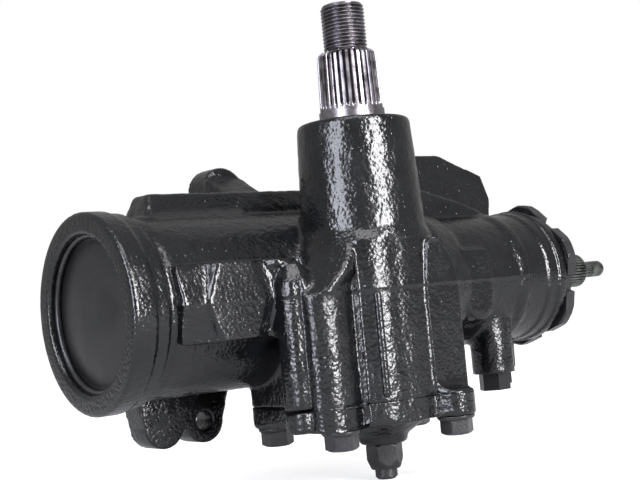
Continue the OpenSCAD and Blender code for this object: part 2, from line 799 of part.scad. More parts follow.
// Cover with a hub for the shaft's lower bushing and a boss for the lash screw
module side_cover() {
    edge = 1;
    boss_wall = 4;
    color("#24262a") in_frame() difference() {
        union() {
            translate([0, 0, -cover_z]) linear_extrude(cover_t) flange_outline();
            translate([0, 0, -cover_z]) cylinder(h = cover_t + hub_h, r = hub_r);
            rotate_extrude() polygon([[0, -lash_boss_z], [lash_boss_r - edge, -lash_boss_z],
                [lash_boss_r, edge - lash_boss_z], [lash_boss_r, boss_wall - lash_boss_z],
                [lash_boss_r + lash_boss_h, -cover_z], [0, -cover_z]]);
        }
        translate([0, 0, -hub_floor_z]) cylinder(h = hub_floor_z, r = bushing_r);
        translate([0, 0, -lash_boss_z - over]) cylinder(h = lash_boss_z, r = lash_r + running);
        for (p = bolt_xys) translate([p[0], p[1], -cover_z - over])
            cylinder(h = cover_t + 2 * over, r = bolt_r + slip);
        cover_seal_groove();
    }
}

module cover_seal_groove() {
    translate([0, chamber_bore_y, -joint_z]) rotate_extrude()
        translate([seal_groove_r, -2 * o_ring_r]) square([2 * o_ring_r, 4 * o_ring_r]);
}

module side_cover_seal() {
    color("#151515") in_frame() translate([0, chamber_bore_y, -joint_z - o_ring_r]) rotate_extrude()
        translate([seal_groove_r + o_ring_r, 0]) circle(o_ring_r);
}

// Flanged hex bolt with its head below the cover
module side_cover_bolts() {
    color("#2b2d31") in_frame() for (p = bolt_xys) translate([p[0], p[1], -cover_z]) {
        cylinder(h = cover_t + bolt_depth, r = bolt_r);
        translate([0, 0, -bolt_flange_t]) cylinder(h = bolt_flange_t, r = bolt_flange_r);
        translate([0, 0, -bolt_flange_t - bolt_head_h]) linear_extrude(bolt_head_h) hexagon(bolt_af);
    }
}

module cover_bushing() {
    color("#8d7440") in_frame() bush(-hub_floor_z, hub_bore_depth + hub_h, journal_r + running, bushing_r);
}

// Screw whose head hangs in the shaft's slot
module lash_screw() {
    chamfer = 1.2;
    end_z = -lash_boss_z - lash_out;
    color("#6a6c70") in_frame() {
        translate([0, 0, lash_head_z]) cylinder(h = lash_head_t, r = lash_head_r);
        rotate_extrude() polygon([[0, end_z], [lash_r - chamfer, end_z], [lash_r, end_z + chamfer],
            [lash_r, lash_head_z], [0, lash_head_z]]);
    }
}

module lash_nut() {
    rim = 1.6;
    end_z = -lash_boss_z - lash_nut_h;
    color("#3a3b3f") in_frame() difference() {
        intersection() {
            translate([0, 0, end_z]) linear_extrude(lash_nut_h) hexagon(lash_nut_af);
            rotate_extrude() polygon([[0, -lash_boss_z], [lash_nut_af, -lash_boss_z],
                [lash_nut_af / sqrt(3), end_z + lash_nut_taper], [lash_r + rim, end_z], [0, end_z]]);
        }
        translate([0, 0, end_z - over]) cylinder(h = lash_nut_h + 2 * over, r = lash_r + running);
    }
}

module lash_shim() {
    color("#8a8c90") in_frame()
        bush(lash_head_z + lash_head_t + slip / 2, shim_t, 0, lash_head_r - slip);
}

// Shaft with its gear sector, journals, arm serrations and arm thread
module sector_shaft() {
    chamfer = 1.2;
    thread_z = seat_z + serration_l;
    top_z = thread_z + arm_thread_l;
    journal_z = snap_z + snap_l;
    arm_r = serration_d / 2;
    thread_r = arm_thread_d / 2;
    color("#8f8d88") in_frame() {
        difference() {
            rotate_extrude() polygon([[0, -shaft_foot_z], [journal_r - chamfer, -shaft_foot_z],
                [journal_r, chamfer - shaft_foot_z], [journal_r, journal_z], [neck_r, journal_z + chamfer],
                [neck_r, seat_z], [0, seat_z]]);
            lash_slot();
        }
        translate([0, 0, -sector_h / 2]) linear_extrude(sector_h) difference() {
            union() {
                circle(root_r);
                for (k = [-1 : 1]) rotate(k * 360 / full_circle_teeth) sector_tooth();
            }
            circle(journal_r - chamfer);
        }
        intersection() {
            translate([0, 0, seat_z]) linear_extrude(serration_l)
                star(arm_r + chamfer, serration_depth + chamfer, serration_count);
            rotate_extrude() polygon([[0, seat_z], [arm_r - chamfer / 2, seat_z], [arm_r, seat_z + chamfer],
                [arm_r - serration_taper, thread_z - chamfer], [arm_r - serration_taper - chamfer, thread_z],
                [0, thread_z]]);
        }
        rotate_extrude() polygon([[0, thread_z], [thread_r, thread_z],
            [thread_r, top_z - chamfer], [thread_r - chamfer, top_z], [0, top_z]]);
    }
}

// Slot in the shaft's foot that takes the lash screw's head from the side
module lash_slot() {
    lip = shaft_foot_z - slip;
    translate([0, 0, -shaft_foot_z - slip]) cylinder(h = pocket_h + slip, r = lash_head_r + slip);
    translate([0, -lash_head_r - slip, -lip])
        cube([2 * journal_r, 2 * (lash_head_r + slip), pocket_h - slip]);
}

module sector_bearing() {
    color("#b9bbbd") in_frame() bush(tower_bore_z, bearing_l, journal_r + running, tower_bore_r);
}

module sector_seal() {
    color("#1b1b1b") in_frame() bush(seal_z, seal_l, journal_r + running, tower_bore_r);
}

module seal_backup_washer() {
    color("#a5a7a9") in_frame() bush(washer_z, washer_l, journal_r + slip, tower_bore_r);
}

module sector_dust_seal() {
    color("#202020") in_frame() bush(dust_seal_z, dust_seal_l, journal_r + running, tower_bore_r);
}

// Open snap ring above the seals
module sector_seal_ring() {
    gap = 14;
    wide = 2.6;
    color("#77797d") in_frame() difference() {
        bush(snap_z, snap_l, tower_bore_r - wide, tower_bore_r);
        translate([-gap / 2, 0, snap_z - over]) cube([gap, tower_bore_r + over, snap_l + 2 * over]);
    }
}

// Ball nut with a piston head and rack teeth milled on the sector's side
module rack_piston() {
    x0 = piston_x0;
    r = bore_r - running;
    rack_end = 2;
    rack_half_l = 2 * tooth_pitch + rack_end;
    color("#7d7f83") in_frame() difference() {
        intersection() {
            sleeve(x0, piston_x, 0, r);
            union() {
                difference() {
                    translate([x0, worm_y - bore_r, -bore_r]) cube([piston_l, 2 * bore_r, 2 * bore_r]);
                    translate([-rack_half_l, worm_y - 2 * bore_r, -bore_r])
                        cube([2 * rack_half_l, 2 * bore_r - rack_drop + dedendum, 2 * bore_r]);
                }
                translate([0, 0, -sector_h / 2]) linear_extrude(sector_h)
                    for (k = [-1.5 : 1 : 1.5]) rack_tooth(k * tooth_pitch);
            }
        }
        sleeve(x0 + piston_plug_l, piston_x + over, 0, nut_bore_r);
        sleeve(x0 - over, x0 + piston_plug_l, 0, piston_plug_r);
        sleeve(-guide_span - ball_r - slip, guide_span + ball_r + slip, 0,
            ball_circle_r + ball_r + running);
        sleeve(x0 + 2 * piston_ring_w, x0 + 3 * piston_ring_w, r - piston_ring_t, bore_r + over);
        guide_pocket();
    }
}

// Milled flat and slot that the return guide sits in
module guide_pocket() {
    half_l = guide_span + guide_out_r + slip;
    translate([-half_l, guide_flat_y, -bore_r]) cube([2 * half_l, bore_r, 2 * bore_r]);
    translate([-half_l, worm_y + guide_foot, -guide_out_r - slip])
        cube([2 * half_l, bore_r, 2 * (guide_out_r + slip)]);
    for (s = [-1, 1]) translate([s * guide_span, worm_y, 0]) rotate([-90, 0, 0])
        cylinder(h = bore_r, r = guide_out_r + slip);
    for (s = [-1, 1]) translate([0, guide_flat_y, s * clamp_screw_z]) rotate([90, 0, 0])
        cylinder(h = clamp_screw_l, r = clamp_screw_r);
}

module piston_end_plug() {
    drive = 12;
    drive_l = piston_plug_l * 0.7;
    color("#6f7175") in_frame() difference() {
        sleeve(piston_x0, piston_x0 + piston_plug_l, 0, piston_plug_r);
        translate([piston_x0 - over, worm_y - drive / 2, -drive / 2]) cube([drive_l + over, drive, drive]);
    }
}

module piston_ring() {
    x0 = piston_x0 + 2 * piston_ring_w;
    r = bore_r - running;
    color("#1d4a3a") in_frame() sleeve(x0, x0 + piston_ring_w, r - piston_ring_t, r);
}

// Loaded balls along the helix, and balls in the return guide
module balls() {
    count = round(ball_turns * balls_per_turn);
    color("#c9cbcd") in_frame() {
        for (i = [1 : count - 1]) {
            turn = ball_turns * i / count;
            a = 360 * turn;
            x = lead * (turn - ball_turns / 2);
            translate([x, worm_y + ball_circle_r * cos(a), ball_circle_r * sin(a)]) sphere(ball_r);
        }
        for (i = [1 : guide_balls]) {
            a = 180 * i / (guide_balls + 1);
            translate([guide_span * cos(a), worm_y + guide_foot + guide_span * sin(a), 0]) sphere(ball_r);
        }
    }
}

// Half-round tube that carries the balls back
module ball_return_guide() {
    color("#9c9ea2") in_frame() translate([0, worm_y + guide_foot, 0]) rotate_extrude(angle = 180)
        translate([guide_span, 0]) difference() {
            circle(guide_out_r);
            circle(guide_out_r - guide_t);
        }
}

// Strap over the guide, screwed to the milled flat
module guide_clamp() {
    top_y = worm_y + guide_foot + guide_span;
    flat_y = guide_flat_y;
    out = guide_out_r + clamp_t;
    in = guide_out_r + slip / 2;
    wide = clamp_screw_z + clamp_head_r;
    color("#85878b") in_frame() difference() {
        lengthwise(-clamp_w / 2, clamp_w / 2) difference() {
            union() {
                translate([top_y, 0]) circle(out);
                translate([flat_y, -out]) square([top_y - flat_y, 2 * out]);
                translate([flat_y, -wide]) square([clamp_t, 2 * wide]);
            }
            translate([top_y, 0]) circle(in);
            translate([flat_y - over, -in]) square([top_y - flat_y + over, 2 * in]);
        }
        for (s = [-1, 1]) translate([0, flat_y - over, s * clamp_screw_z]) rotate([-90, 0, 0])
            cylinder(h = clamp_t + 2 * over, r = clamp_screw_r + slip / 2);
    }
}

module guide_clamp_screws() {
    head_h = 1.6;
    color("#5d5f63") in_frame() for (s = [-1, 1]) translate([0, guide_flat_y + clamp_t, s * clamp_screw_z])
        rotate([90, 0, 0]) {
            cylinder(h = clamp_screw_l, r = clamp_screw_r);
            translate([0, 0, -head_h]) cylinder(h = head_h, r = clamp_head_r);
        }
}

// Worm with its ball track, hub and flange
module worm_shaft() {
    track_r = ball_circle_r - ball_r - running;
    track_end = 4;
    taper = 2;
    track_x1 = piston_x - track_end;
    hub = 13;
    flange_r = valve_bore_r - over;
    color("#8a8c90") in_frame() difference() {
        turned([[0, -worm_free_x], [track_r, -worm_free_x], [track_r, track_x1], [worm_r, track_x1 + taper],
            [worm_r, bore_end_x], [hub, bore_end_x + taper], [hub, worm_flange_x],
            [flange_r, worm_flange_x], [flange_r, valve_x0], [0, valve_x0]]);
        sleeve(bore_end_x + over, valve_x0 + over, 0, torsion_r + slip);
    }
}

// A pair of flat races with room for a needle cage between them
module thrust_races(x0) {
    inset = 2;
    for (x = [x0, x0 + race_t + needle_t])
        sleeve(x, x + race_t, journal_r - inset, valve_bore_r - inset);
}

module lower_thrust_races() {
    color("#a5a7a9") in_frame() thrust_races(web_x1);
}

// Cage of a thrust needle bearing
module thrust_cage(x0) {
    inner = 1.5;
    outer = 2.5;
    sleeve(x0, x0 + needle_t, journal_r - inner, valve_bore_r - outer);
}

module lower_thrust_bearing() {
    color("#c0c2c4") in_frame() thrust_cage(low_bearing_x);
}

// Valve sleeve with three seal grooves and oil holes between them
module valve_body() {
    color("#74767a") in_frame() difference() {
        sleeve(valve_x0, valve_x1, valve_in_r, valve_bore_r - running);
        for (x = valve_ring_xs)
            sleeve(x, x + valve_ring_w, valve_bore_r - valve_ring_t, valve_bore_r + over);
        for (x = valve_hole_xs, a = [0 : 90 : 270]) along_worm() rotate(a + x)
            translate([0, 0, x]) rotate([0, 90, 0]) cylinder(h = valve_bore_r + over, r = valve_hole_r);
    }
}

module valve_body_rings() {
    color("#1d4a3a") in_frame() for (x = valve_ring_xs)
        sleeve(x, x + valve_ring_w, valve_bore_r - valve_ring_t, valve_bore_r - running);
}

// Inner spool on the stub shaft, with lands cut along it
module valve_spool() {
    lands = 6;
    end_gap = 4;
    slot_w = 4;
    slot_d = 1.6;
    slot_end = 10;
    color("#84868a") in_frame() difference() {
        sleeve(valve_x0 + end_gap, valve_x1 - end_gap, stub_r, valve_in_r - running);
        for (k = [0 : lands - 1]) along_worm() rotate(360 * k / lands)
            translate([valve_in_r - slot_d, -slot_w / 2, valve_x0 + slot_end])
                cube([slot_d + over, slot_w, valve_l - 2 * slot_end]);
    }
}

module torsion_bar() {
    color("#9a9ca0") in_frame() sleeve(bore_end_x + bar_in, stub_x - bar_out, 0, torsion_r);
}

module upper_thrust_races() {
    color("#a5a7a9") in_frame() thrust_races(valve_x1);
}

module upper_thrust_bearing() {
    color("#c0c2c4") in_frame() thrust_cage(up_bearing_x);
}

// Threaded plug that sets the thrust bearings and carries the stub's bearing and seals
module adjuster_plug() {
    pin_r = 2.4;
    pin_d = 6;
    edge = 1;
    hole_r = stub_r + 1.5;
    pin_circle_r = (stub_bearing_r + adjuster_r) / 2;
    color("#4a4c50") in_frame() difference() {
        turned([[hole_r, adjuster_x0], [valve_bore_r - running, adjuster_x0],
            [valve_bore_r - running, thread_x0], [adjuster_r, thread_x0], [adjuster_r, adjuster_x1 - edge],
            [adjuster_r - edge, adjuster_x1], [hole_r, adjuster_x1]]);
        sleeve(stub_bearing_x, adjuster_x1 + over, 0, stub_bearing_r);
        sleeve(adjuster_groove_x - o_ring_r, adjuster_groove_x + o_ring_r,
            valve_bore_r - 2 * o_ring_r, valve_bore_r + over);
        for (a = [45, 225]) along_worm() rotate(a) translate([pin_circle_r, 0, adjuster_x1 - pin_d])
            cylinder(h = pin_d + over, r = pin_r);
    }
}

module adjuster_o_ring() {
    color("#151515") in_frame() along_worm() translate([0, 0, adjuster_groove_x]) rotate_extrude()
        translate([valve_bore_r - o_ring_r, 0]) circle(o_ring_r);
}

// Notched ring that locks the adjuster plug
module adjuster_lock_nut() {
    edge = 1;
    face_edge = 1.5;
    color("#2b2d31") in_frame() difference() {
        turned([[adjuster_r, valve_end_x], [lock_nut_r - edge, valve_end_x],
            [lock_nut_r, valve_end_x + edge], [lock_nut_r, lock_nut_x1 - edge],
            [lock_nut_r - face_edge, lock_nut_x1], [adjuster_r, lock_nut_x1]]);
        for (k = [0 : notch_count - 1]) along_worm() rotate(360 * k / notch_count)
            translate([lock_nut_r - notch_d, -notch_w / 2, valve_end_x - over])
                cube([notch_d + over, notch_w, lock_nut_w + 2 * over]);
    }
}

// Input shaft with a serrated end and a thin serrated tip
module stub_shaft() {
    chamfer = 1;
    serration_x = stub_x - stub_serration_l;
    tip_x = stub_x + tip_pin_l;
    tip_depth = 0.5;
    core_r = stub_r - stub_serration_depth - running;
    tip_core_r = tip_pin_r - tip_depth - running;
    tip_serration_x = stub_x + tip_serration_l;
    color("#6d706c") in_frame() difference() {
        union() {
            turned([[0, valve_x0 + lip_t], [core_r, valve_x0 + lip_t], [core_r, stub_x - over],
                [tip_core_r, stub_x - over], [tip_core_r, tip_serration_x + over],
                [0, tip_serration_x + over]]);
            sleeve(valve_x0 + lip_t, serration_x, 0, stub_r);
            intersection() {
                along_worm() translate([0, 0, serration_x]) linear_extrude(stub_serration_l)
                    star(stub_r + chamfer, stub_serration_depth + chamfer, stub_serration_count);
                turned([[0, serration_x], [stub_r - running, serration_x],
                    [stub_r - running, stub_x - chamfer], [stub_r - chamfer, stub_x], [0, stub_x]]);
            }
            along_worm() translate([0, 0, stub_x]) linear_extrude(tip_serration_l)
                star(tip_pin_r - running, tip_depth, tip_serration_count);
            turned([[0, tip_serration_x], [tip_pin_r, tip_serration_x],
                [tip_pin_r, tip_x - 3 * chamfer], [tip_pin_r - chamfer, tip_x - chamfer],
                [tip_pin_r - 2.5 * chamfer, tip_x], [0, tip_x]]);
        }
        sleeve(valve_x0 + over, stub_x - bar_out, 0, torsion_r + running);
    }
}

module stub_bearing() {
    color("#b9bbbd") in_frame() sleeve(stub_bearing_x, stub_seal_x, stub_r + running, stub_bearing_r);
}

module stub_seal() {
    color("#1b1b1b") in_frame() sleeve(stub_seal_x, stub_dust_x, stub_r + running, stub_bearing_r);
}

module stub_dust_seal() {
    color("#202020") in_frame() sleeve(stub_dust_x, stub_snap_x, stub_r + running, stub_bearing_r);
}

module stub_seal_ring() {
    gap = 8;
    wide = 2;
    color("#77797d") in_frame() difference() {
        sleeve(stub_snap_x, stub_snap_x + stub_snap_l, stub_bearing_r - wide, stub_bearing_r);
        along_worm() translate([0, -gap / 2, stub_snap_x - over])
            cube([stub_bearing_r + over, gap, stub_snap_l + 2 * over]);
    }
}

// Flare seats pressed into the bottoms of the ports
module port_seats() {
    seat_h = 5;
    color("#a5873f") in_frame() for (p = port_xys) translate([p[0], p[1], port_depth - port_z - seat_h])
        difference() {
            cylinder(h = seat_h, r = port_r);
            translate([0, 0, -over]) cylinder(h = seat_h + 2 * over, r = port_r / 2);
        }
}

// Hexagon plugs that close the ports
module port_plugs() {
    stem = 8;
    color("#17181a") in_frame() for (p = port_xys) translate([p[0], p[1], -port_z]) {
        cylinder(h = stem, r = port_r);
        translate([0, 0, -port_plug_h]) linear_extrude(port_plug_h) hexagon(port_plug_af);
    }
}

housing();
end_plug();
end_plug_o_ring();
end_plug_retaining_ring();
side_cover();
side_cover_seal();
side_cover_bolts();
cover_bushing();
lash_screw();
lash_nut();
lash_shim();
sector_shaft();
sector_bearing();
sector_seal();
seal_backup_washer();
sector_dust_seal();
sector_seal_ring();
rack_piston();
piston_end_plug();
piston_ring();
balls();
ball_return_guide();
guide_clamp();
guide_clamp_screws();
worm_shaft();
lower_thrust_races();
lower_thrust_bearing();
valve_body();
valve_body_rings();
valve_spool();
torsion_bar();
upper_thrust_races();
upper_thrust_bearing();
adjuster_plug();
adjuster_o_ring();
adjuster_lock_nut();
stub_shaft();
stub_bearing();
stub_seal();
stub_dust_seal();
stub_seal_ring();
port_seats();
port_plugs();
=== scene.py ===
# %% [markdown]
# # Dressing a steering gearbox
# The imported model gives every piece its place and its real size. This lesson adds what the eye
# expects on top of that: the soft edges and pitted gloss of a painted casting, cut threads and
# serrations on bare steel, and bolts with chamfered corners. Everything is in the frame of the model,
# with the steering arm's seat at the origin, Z up the sector shaft and X along the worm.

import bmesh
import bpy
import numpy as np
from mathutils import Matrix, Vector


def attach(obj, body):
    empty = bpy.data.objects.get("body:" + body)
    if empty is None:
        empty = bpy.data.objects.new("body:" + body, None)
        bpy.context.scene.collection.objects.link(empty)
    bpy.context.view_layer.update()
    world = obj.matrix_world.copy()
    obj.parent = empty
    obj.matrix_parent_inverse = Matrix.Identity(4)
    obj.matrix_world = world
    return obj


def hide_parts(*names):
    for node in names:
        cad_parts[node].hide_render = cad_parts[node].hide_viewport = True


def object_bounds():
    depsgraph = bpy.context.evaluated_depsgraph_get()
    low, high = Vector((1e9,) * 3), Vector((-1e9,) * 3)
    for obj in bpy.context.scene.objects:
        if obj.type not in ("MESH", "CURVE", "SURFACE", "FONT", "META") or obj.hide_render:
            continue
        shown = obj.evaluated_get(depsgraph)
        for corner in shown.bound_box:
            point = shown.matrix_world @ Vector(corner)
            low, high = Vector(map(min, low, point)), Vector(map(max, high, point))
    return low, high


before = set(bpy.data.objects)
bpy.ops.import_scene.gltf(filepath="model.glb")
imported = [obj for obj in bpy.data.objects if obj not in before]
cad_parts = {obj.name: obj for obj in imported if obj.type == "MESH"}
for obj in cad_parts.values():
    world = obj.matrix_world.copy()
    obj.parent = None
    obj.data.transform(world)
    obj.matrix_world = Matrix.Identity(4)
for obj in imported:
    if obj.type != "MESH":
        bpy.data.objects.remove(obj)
cad_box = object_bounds()
scene = bpy.context.scene
MM = 0.001

# %% [markdown]
# ## Camera
# The camera was fitted to the photograph by least squares over its ellipses and edges, so its place
# and its three axes are known numbers. A camera looks along its own minus Z, so its matrix has the
# right, up and backward directions as columns.

# %% Camera
CAMERA_PLACE = np.array([-402.551, -482.595, -93.558]) * MM
CAMERA_RIGHT = (0.7893, -0.6068, -0.0943)
CAMERA_UP = (0.0452, -0.0957, 0.9944)
CAMERA_BACK = (-0.6124, -0.7891, -0.0481)
FOCAL_PIXELS = 1246.93
PICTURE_WIDTH = 640
SENSOR_WIDTH = 36.0

turn = np.array([CAMERA_RIGHT, CAMERA_UP, CAMERA_BACK]).T
camera_data = bpy.data.cameras.new("photo_camera")
camera_data.sensor_fit = "HORIZONTAL"
camera_data.sensor_width = SENSOR_WIDTH
camera_data.lens = FOCAL_PIXELS / PICTURE_WIDTH * SENSOR_WIDTH
camera_data.clip_start = 0.01
camera = bpy.data.objects.new("photo_camera", camera_data)
camera.matrix_world = Matrix.Translation(CAMERA_PLACE) @ Matrix(turn.tolist()).to_4x4()
scene.collection.objects.link(camera)
scene.camera = camera
print("camera: lens", round(camera_data.lens, 2), "mm")

# %% [markdown]
# ## Surfaces from grids
# Most fasteners and shafts are turned or rolled: their surface is a radius that depends on the angle
# round an axis and on the station along it. A grid of angles and stations then gives every point at
# once, and the faces only join neighbours. A hexagon, a chamfer, a serration and a thread are all
# just different radius functions on the same grid.

# %% Grid helpers
WORM_Y = 45.5
WORM_Z = -90.0
FULL_TURN = 2 * np.pi
SAME_POINT = 1e-7


def grid_faces(rows, columns):
    """Corner numbers of a grid closed round its columns: each face joins a point, the next point in
    its row and the two points above them."""
    index = np.arange(rows * columns).reshape(rows, columns)
    beside = np.roll(index, -1, axis=1)
    return np.stack([index[:-1], beside[:-1], beside[1:], index[1:]], axis=-1).reshape(-1, 4)


def refined(profile, step):
    """A profile of radius and station pairs with points added so that none is further than step from
    the next, measured along the profile; its own corners stay."""
    profile = np.asarray(profile, float)
    lengths = np.hypot(*np.diff(profile, axis=0).T)
    pieces = np.maximum(np.ceil(lengths / step).astype(int), 1)
    parts = [np.linspace(a, b, n, endpoint=False) for a, b, n in zip(profile[:-1], profile[1:], pieces)]
    return np.vstack(parts + [profile[-1:]])


def turned(profile, around, shape=None):
    """Points of a surface turned about Z: the profile's radius at each station, carried round a full
    circle; shape(radius, station, angle) may change the radius."""
    radius, station = np.asarray(profile, float).T
    angle = np.linspace(0, FULL_TURN, around, endpoint=False)[None, :]
    station = np.repeat(station[:, None], around, axis=1)
    radius = np.repeat(radius[:, None], around, axis=1)
    if shape is not None:
        radius = shape(radius, station, angle)
    return np.stack([radius * np.cos(angle), radius * np.sin(angle), station], axis=-1)


def along_worm(points):
    """Turns points made about Z so that their axis is the worm's: station becomes X."""
    return np.stack([points[..., 2], WORM_Y + points[..., 0], WORM_Z + points[..., 1]], axis=-1)


def joined(grids):
    """One list of points and faces from several grids of points."""
    points = []
    faces = []
    start = 0
    for grid in grids:
        rows, columns = grid.shape[:2]
        points.append(grid.reshape(-1, 3))
        faces.append(grid_faces(rows, columns) + start)
        start += rows * columns
    return np.vstack(points), np.vstack(faces)


def finish_mesh(mesh, sharp_deg):
    """Joins doubled points, which closes poles, turns faces outwards, and shades smoothly except
    across edges sharper than the given angle."""
    shell = bmesh.new()
    shell.from_mesh(mesh)
    bmesh.ops.remove_doubles(shell, verts=shell.verts, dist=SAME_POINT)
    bmesh.ops.recalc_face_normals(shell, faces=shell.faces)
    shell.to_mesh(mesh)
    shell.free()
    mesh.shade_smooth()
    mesh.set_sharp_from_angle(angle=np.radians(sharp_deg))


def place_piece(name, mesh, finish, body, nodes=()):
    """Links a mesh as a piece that rides on a body, takes a finish and stands for the named nodes."""
    mesh.materials.clear()
    mesh.materials.append(finish)
    piece = bpy.data.objects.new(name, mesh)
    scene.collection.objects.link(piece)
    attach(piece, body)
    if nodes:
        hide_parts(*nodes)
    print(name, "has", len(mesh.polygons), "faces and rides on", body)


def grid_piece(name, grids, finish, body, nodes=(), sharp_deg=32, groove=None):
    """A piece made of one or more closed grids of points in millimetres; groove may give each point a
    value from 0 to 1 for the dirt and painted shade in its hollow."""
    points, faces = joined(grids)
    mesh = bpy.data.meshes.new(name)
    mesh.from_pydata((points * MM).tolist(), [], faces.tolist())
    # The groove attribute darkens the colour in hollows: dirt, and painted shade where shade falls.
    if groove is not None:
        mesh.attributes.new("groove", "FLOAT", "POINT").data.foreach_set("value", groove.ravel())
    finish_mesh(mesh, sharp_deg)
    place_piece(name, mesh, finish, body, nodes)


print("helpers ready: grids, turned surfaces and pieces")

# %% [markdown]
# ## Shared effects
# Three effects come back in several finishes. Casting grain is the pebbled skin that sand leaves
# under thick paint, with a few specks of grit. Tool marks are the fine rings that a lathe leaves.
# Grime is a slow, cloudy change of colour. Each is a node group with named sockets, so a finish only
# gives it numbers.

# %% Node groups
TOOTH_FINENESS = 2.3
DIMPLE_FINENESS = 0.62
GRIT_SCALE = 300.0
GRIT_STEEPNESS = 6.0
CLOUD_SCALE = 38.0
PATCH_SCALE = 160.0
RING_STRETCH = (0.08, 0.08, 1.0)
GRIME_SPREAD = 3.0
GRIME_START = -1.0


def new_group(name, inputs, outputs):
    """A shader node group with the given float inputs and their values, and float outputs."""
    group = bpy.data.node_groups.new(name, "ShaderNodeTree")
    for label, value in inputs.items():
        socket = group.interface.new_socket(label, in_out="INPUT", socket_type="NodeSocketFloat")
        socket.default_value = value
    for label in outputs:
        group.interface.new_socket(label, in_out="OUTPUT", socket_type="NodeSocketFloat")
    return group


def add(tree, kind, **values):
    """A node of the given kind with its properties set; a name with _in sets an input socket."""
    node = tree.nodes.new(kind)
    for label, value in values.items():
        if label.endswith("_in"):
            node.inputs[label[:-3]].default_value = value
        else:
            setattr(node, label, value)
    return node


def math_node(tree, operation, first, second, clamp=False):
    """A Math node whose two inputs are sockets or numbers; gives its output socket."""
    node = add(tree, "ShaderNodeMath", operation=operation, use_clamp=clamp)
    for socket, value in zip(node.inputs, (first, second)):
        if isinstance(value, (int, float)):
            socket.default_value = value
        else:
            tree.links.new(value, socket)
    return node.outputs[0]


def casting_grain():
    """Pebbles from a smooth cell pattern, dimples from a coarser noise, a fine tooth and sparse specks of
    grit: the height is the dimples, the tooth and the specks less the pebbles' distance from their
    middles."""
    sockets = {"Scale": 520.0, "Pebble": 0.6, "Dimple": 0.5, "Tooth": 0.22, "Speck": 0.0}
    group = new_group("casting_grain", sockets, ["Height", "Mottle"])
    source = add(group, "NodeGroupInput")
    sink = add(group, "NodeGroupOutput")
    place = add(group, "ShaderNodeTexCoord").outputs["Object"]
    links = group.links
    cells = add(group, "ShaderNodeTexVoronoi", feature="SMOOTH_F1", Smoothness_in=0.6)
    dimples = add(group, "ShaderNodeTexNoise", Detail_in=2.0)
    teeth = add(group, "ShaderNodeTexNoise", Detail_in=1.0)
    grit = add(group, "ShaderNodeTexVoronoi", feature="F1", Scale_in=GRIT_SCALE)
    clouds = add(group, "ShaderNodeTexNoise", Scale_in=CLOUD_SCALE, Detail_in=3.0)
    links.new(source.outputs["Scale"], cells.inputs["Scale"])
    for noise, fineness in ((teeth, TOOTH_FINENESS), (dimples, DIMPLE_FINENESS)):
        scale = math_node(group, "MULTIPLY", source.outputs["Scale"], fineness)
        links.new(scale, noise.inputs["Scale"])
    for node in (cells, dimples, teeth, grit, clouds):
        links.new(place, node.inputs["Vector"])
    pebble = math_node(group, "MULTIPLY", cells.outputs["Distance"], source.outputs["Pebble"])
    dimple = math_node(group, "MULTIPLY", dimples.outputs["Fac"], source.outputs["Dimple"])
    tooth = math_node(group, "MULTIPLY", teeth.outputs["Fac"], source.outputs["Tooth"])
    near = math_node(group, "MULTIPLY", grit.outputs["Distance"], GRIT_STEEPNESS)
    grain = math_node(group, "SUBTRACT", 1.0, near, clamp=True)
    speck = math_node(group, "MULTIPLY", grain, source.outputs["Speck"])
    skin = math_node(group, "ADD", math_node(group, "ADD", dimple, tooth), speck)
    links.new(math_node(group, "SUBTRACT", skin, pebble), sink.inputs["Height"])
    links.new(clouds.outputs["Fac"], sink.inputs["Mottle"])
    return group


def tool_marks():
    """Fine rings round Z from a noise that is stretched round the axis: it reads height and radius
    only, so it is the same all the way round."""
    group = new_group("tool_marks", {"Scale": 900.0}, ["Height", "Mottle"])
    source = add(group, "NodeGroupInput")
    sink = add(group, "NodeGroupOutput")
    place = add(group, "ShaderNodeTexCoord").outputs["Object"]
    links = group.links
    stretch = add(group, "ShaderNodeMapping", vector_type="POINT", Scale_in=RING_STRETCH)
    rings = add(group, "ShaderNodeTexNoise", Detail_in=3.0)
    patches = add(group, "ShaderNodeTexNoise", Scale_in=PATCH_SCALE, Detail_in=4.0)
    links.new(place, stretch.inputs["Vector"])
    links.new(stretch.outputs["Vector"], rings.inputs["Vector"])
    links.new(source.outputs["Scale"], rings.inputs["Scale"])
    links.new(place, patches.inputs["Vector"])
    links.new(rings.outputs["Fac"], sink.inputs["Height"])
    links.new(patches.outputs["Fac"], sink.inputs["Mottle"])
    return group


def grime():
    """A cloudy mask between 0 and 1: a noise pushed apart about its middle."""
    group = new_group("grime", {"Scale": 60.0, "Amount": 0.5}, ["Mask"])
    source = add(group, "NodeGroupInput")
    sink = add(group, "NodeGroupOutput")
    place = add(group, "ShaderNodeTexCoord").outputs["Object"]
    noise = add(group, "ShaderNodeTexNoise", Detail_in=6.0, Roughness_in=0.65)
    group.links.new(place, noise.inputs["Vector"])
    group.links.new(source.outputs["Scale"], noise.inputs["Scale"])
    spread = math_node(group, "MULTIPLY_ADD", noise.outputs["Fac"], GRIME_SPREAD)
    spread.node.inputs[2].default_value = GRIME_START
    limited = math_node(group, "MAXIMUM", spread, 0.0)
    mask = math_node(group, "MULTIPLY", limited, source.outputs["Amount"], clamp=True)
    group.links.new(mask, sink.inputs["Mask"])
    return group


GRAIN = casting_grain()
MARKS = tool_marks()
GRIME = grime()
print("effects:", GRAIN.name, MARKS.name, GRIME.name)

# %% [markdown]
# ## Finishes
# The casting wears thick gloss black paint: nearly no colour of its own, so what is seen is the
# studio mirrored in its pebbled skin. Steel is a bright metal with dirt and painted shade in its grooves.
# Rubber, bronze and plastic only show at close range, but each still gets a grain, a mottle and its own
# gloss.

# %% Finish helpers
NOISE_RANGE = (0.3, 0.7)
DIRT_SCALE = 70.0
DIRT_AMOUNT = 0.6


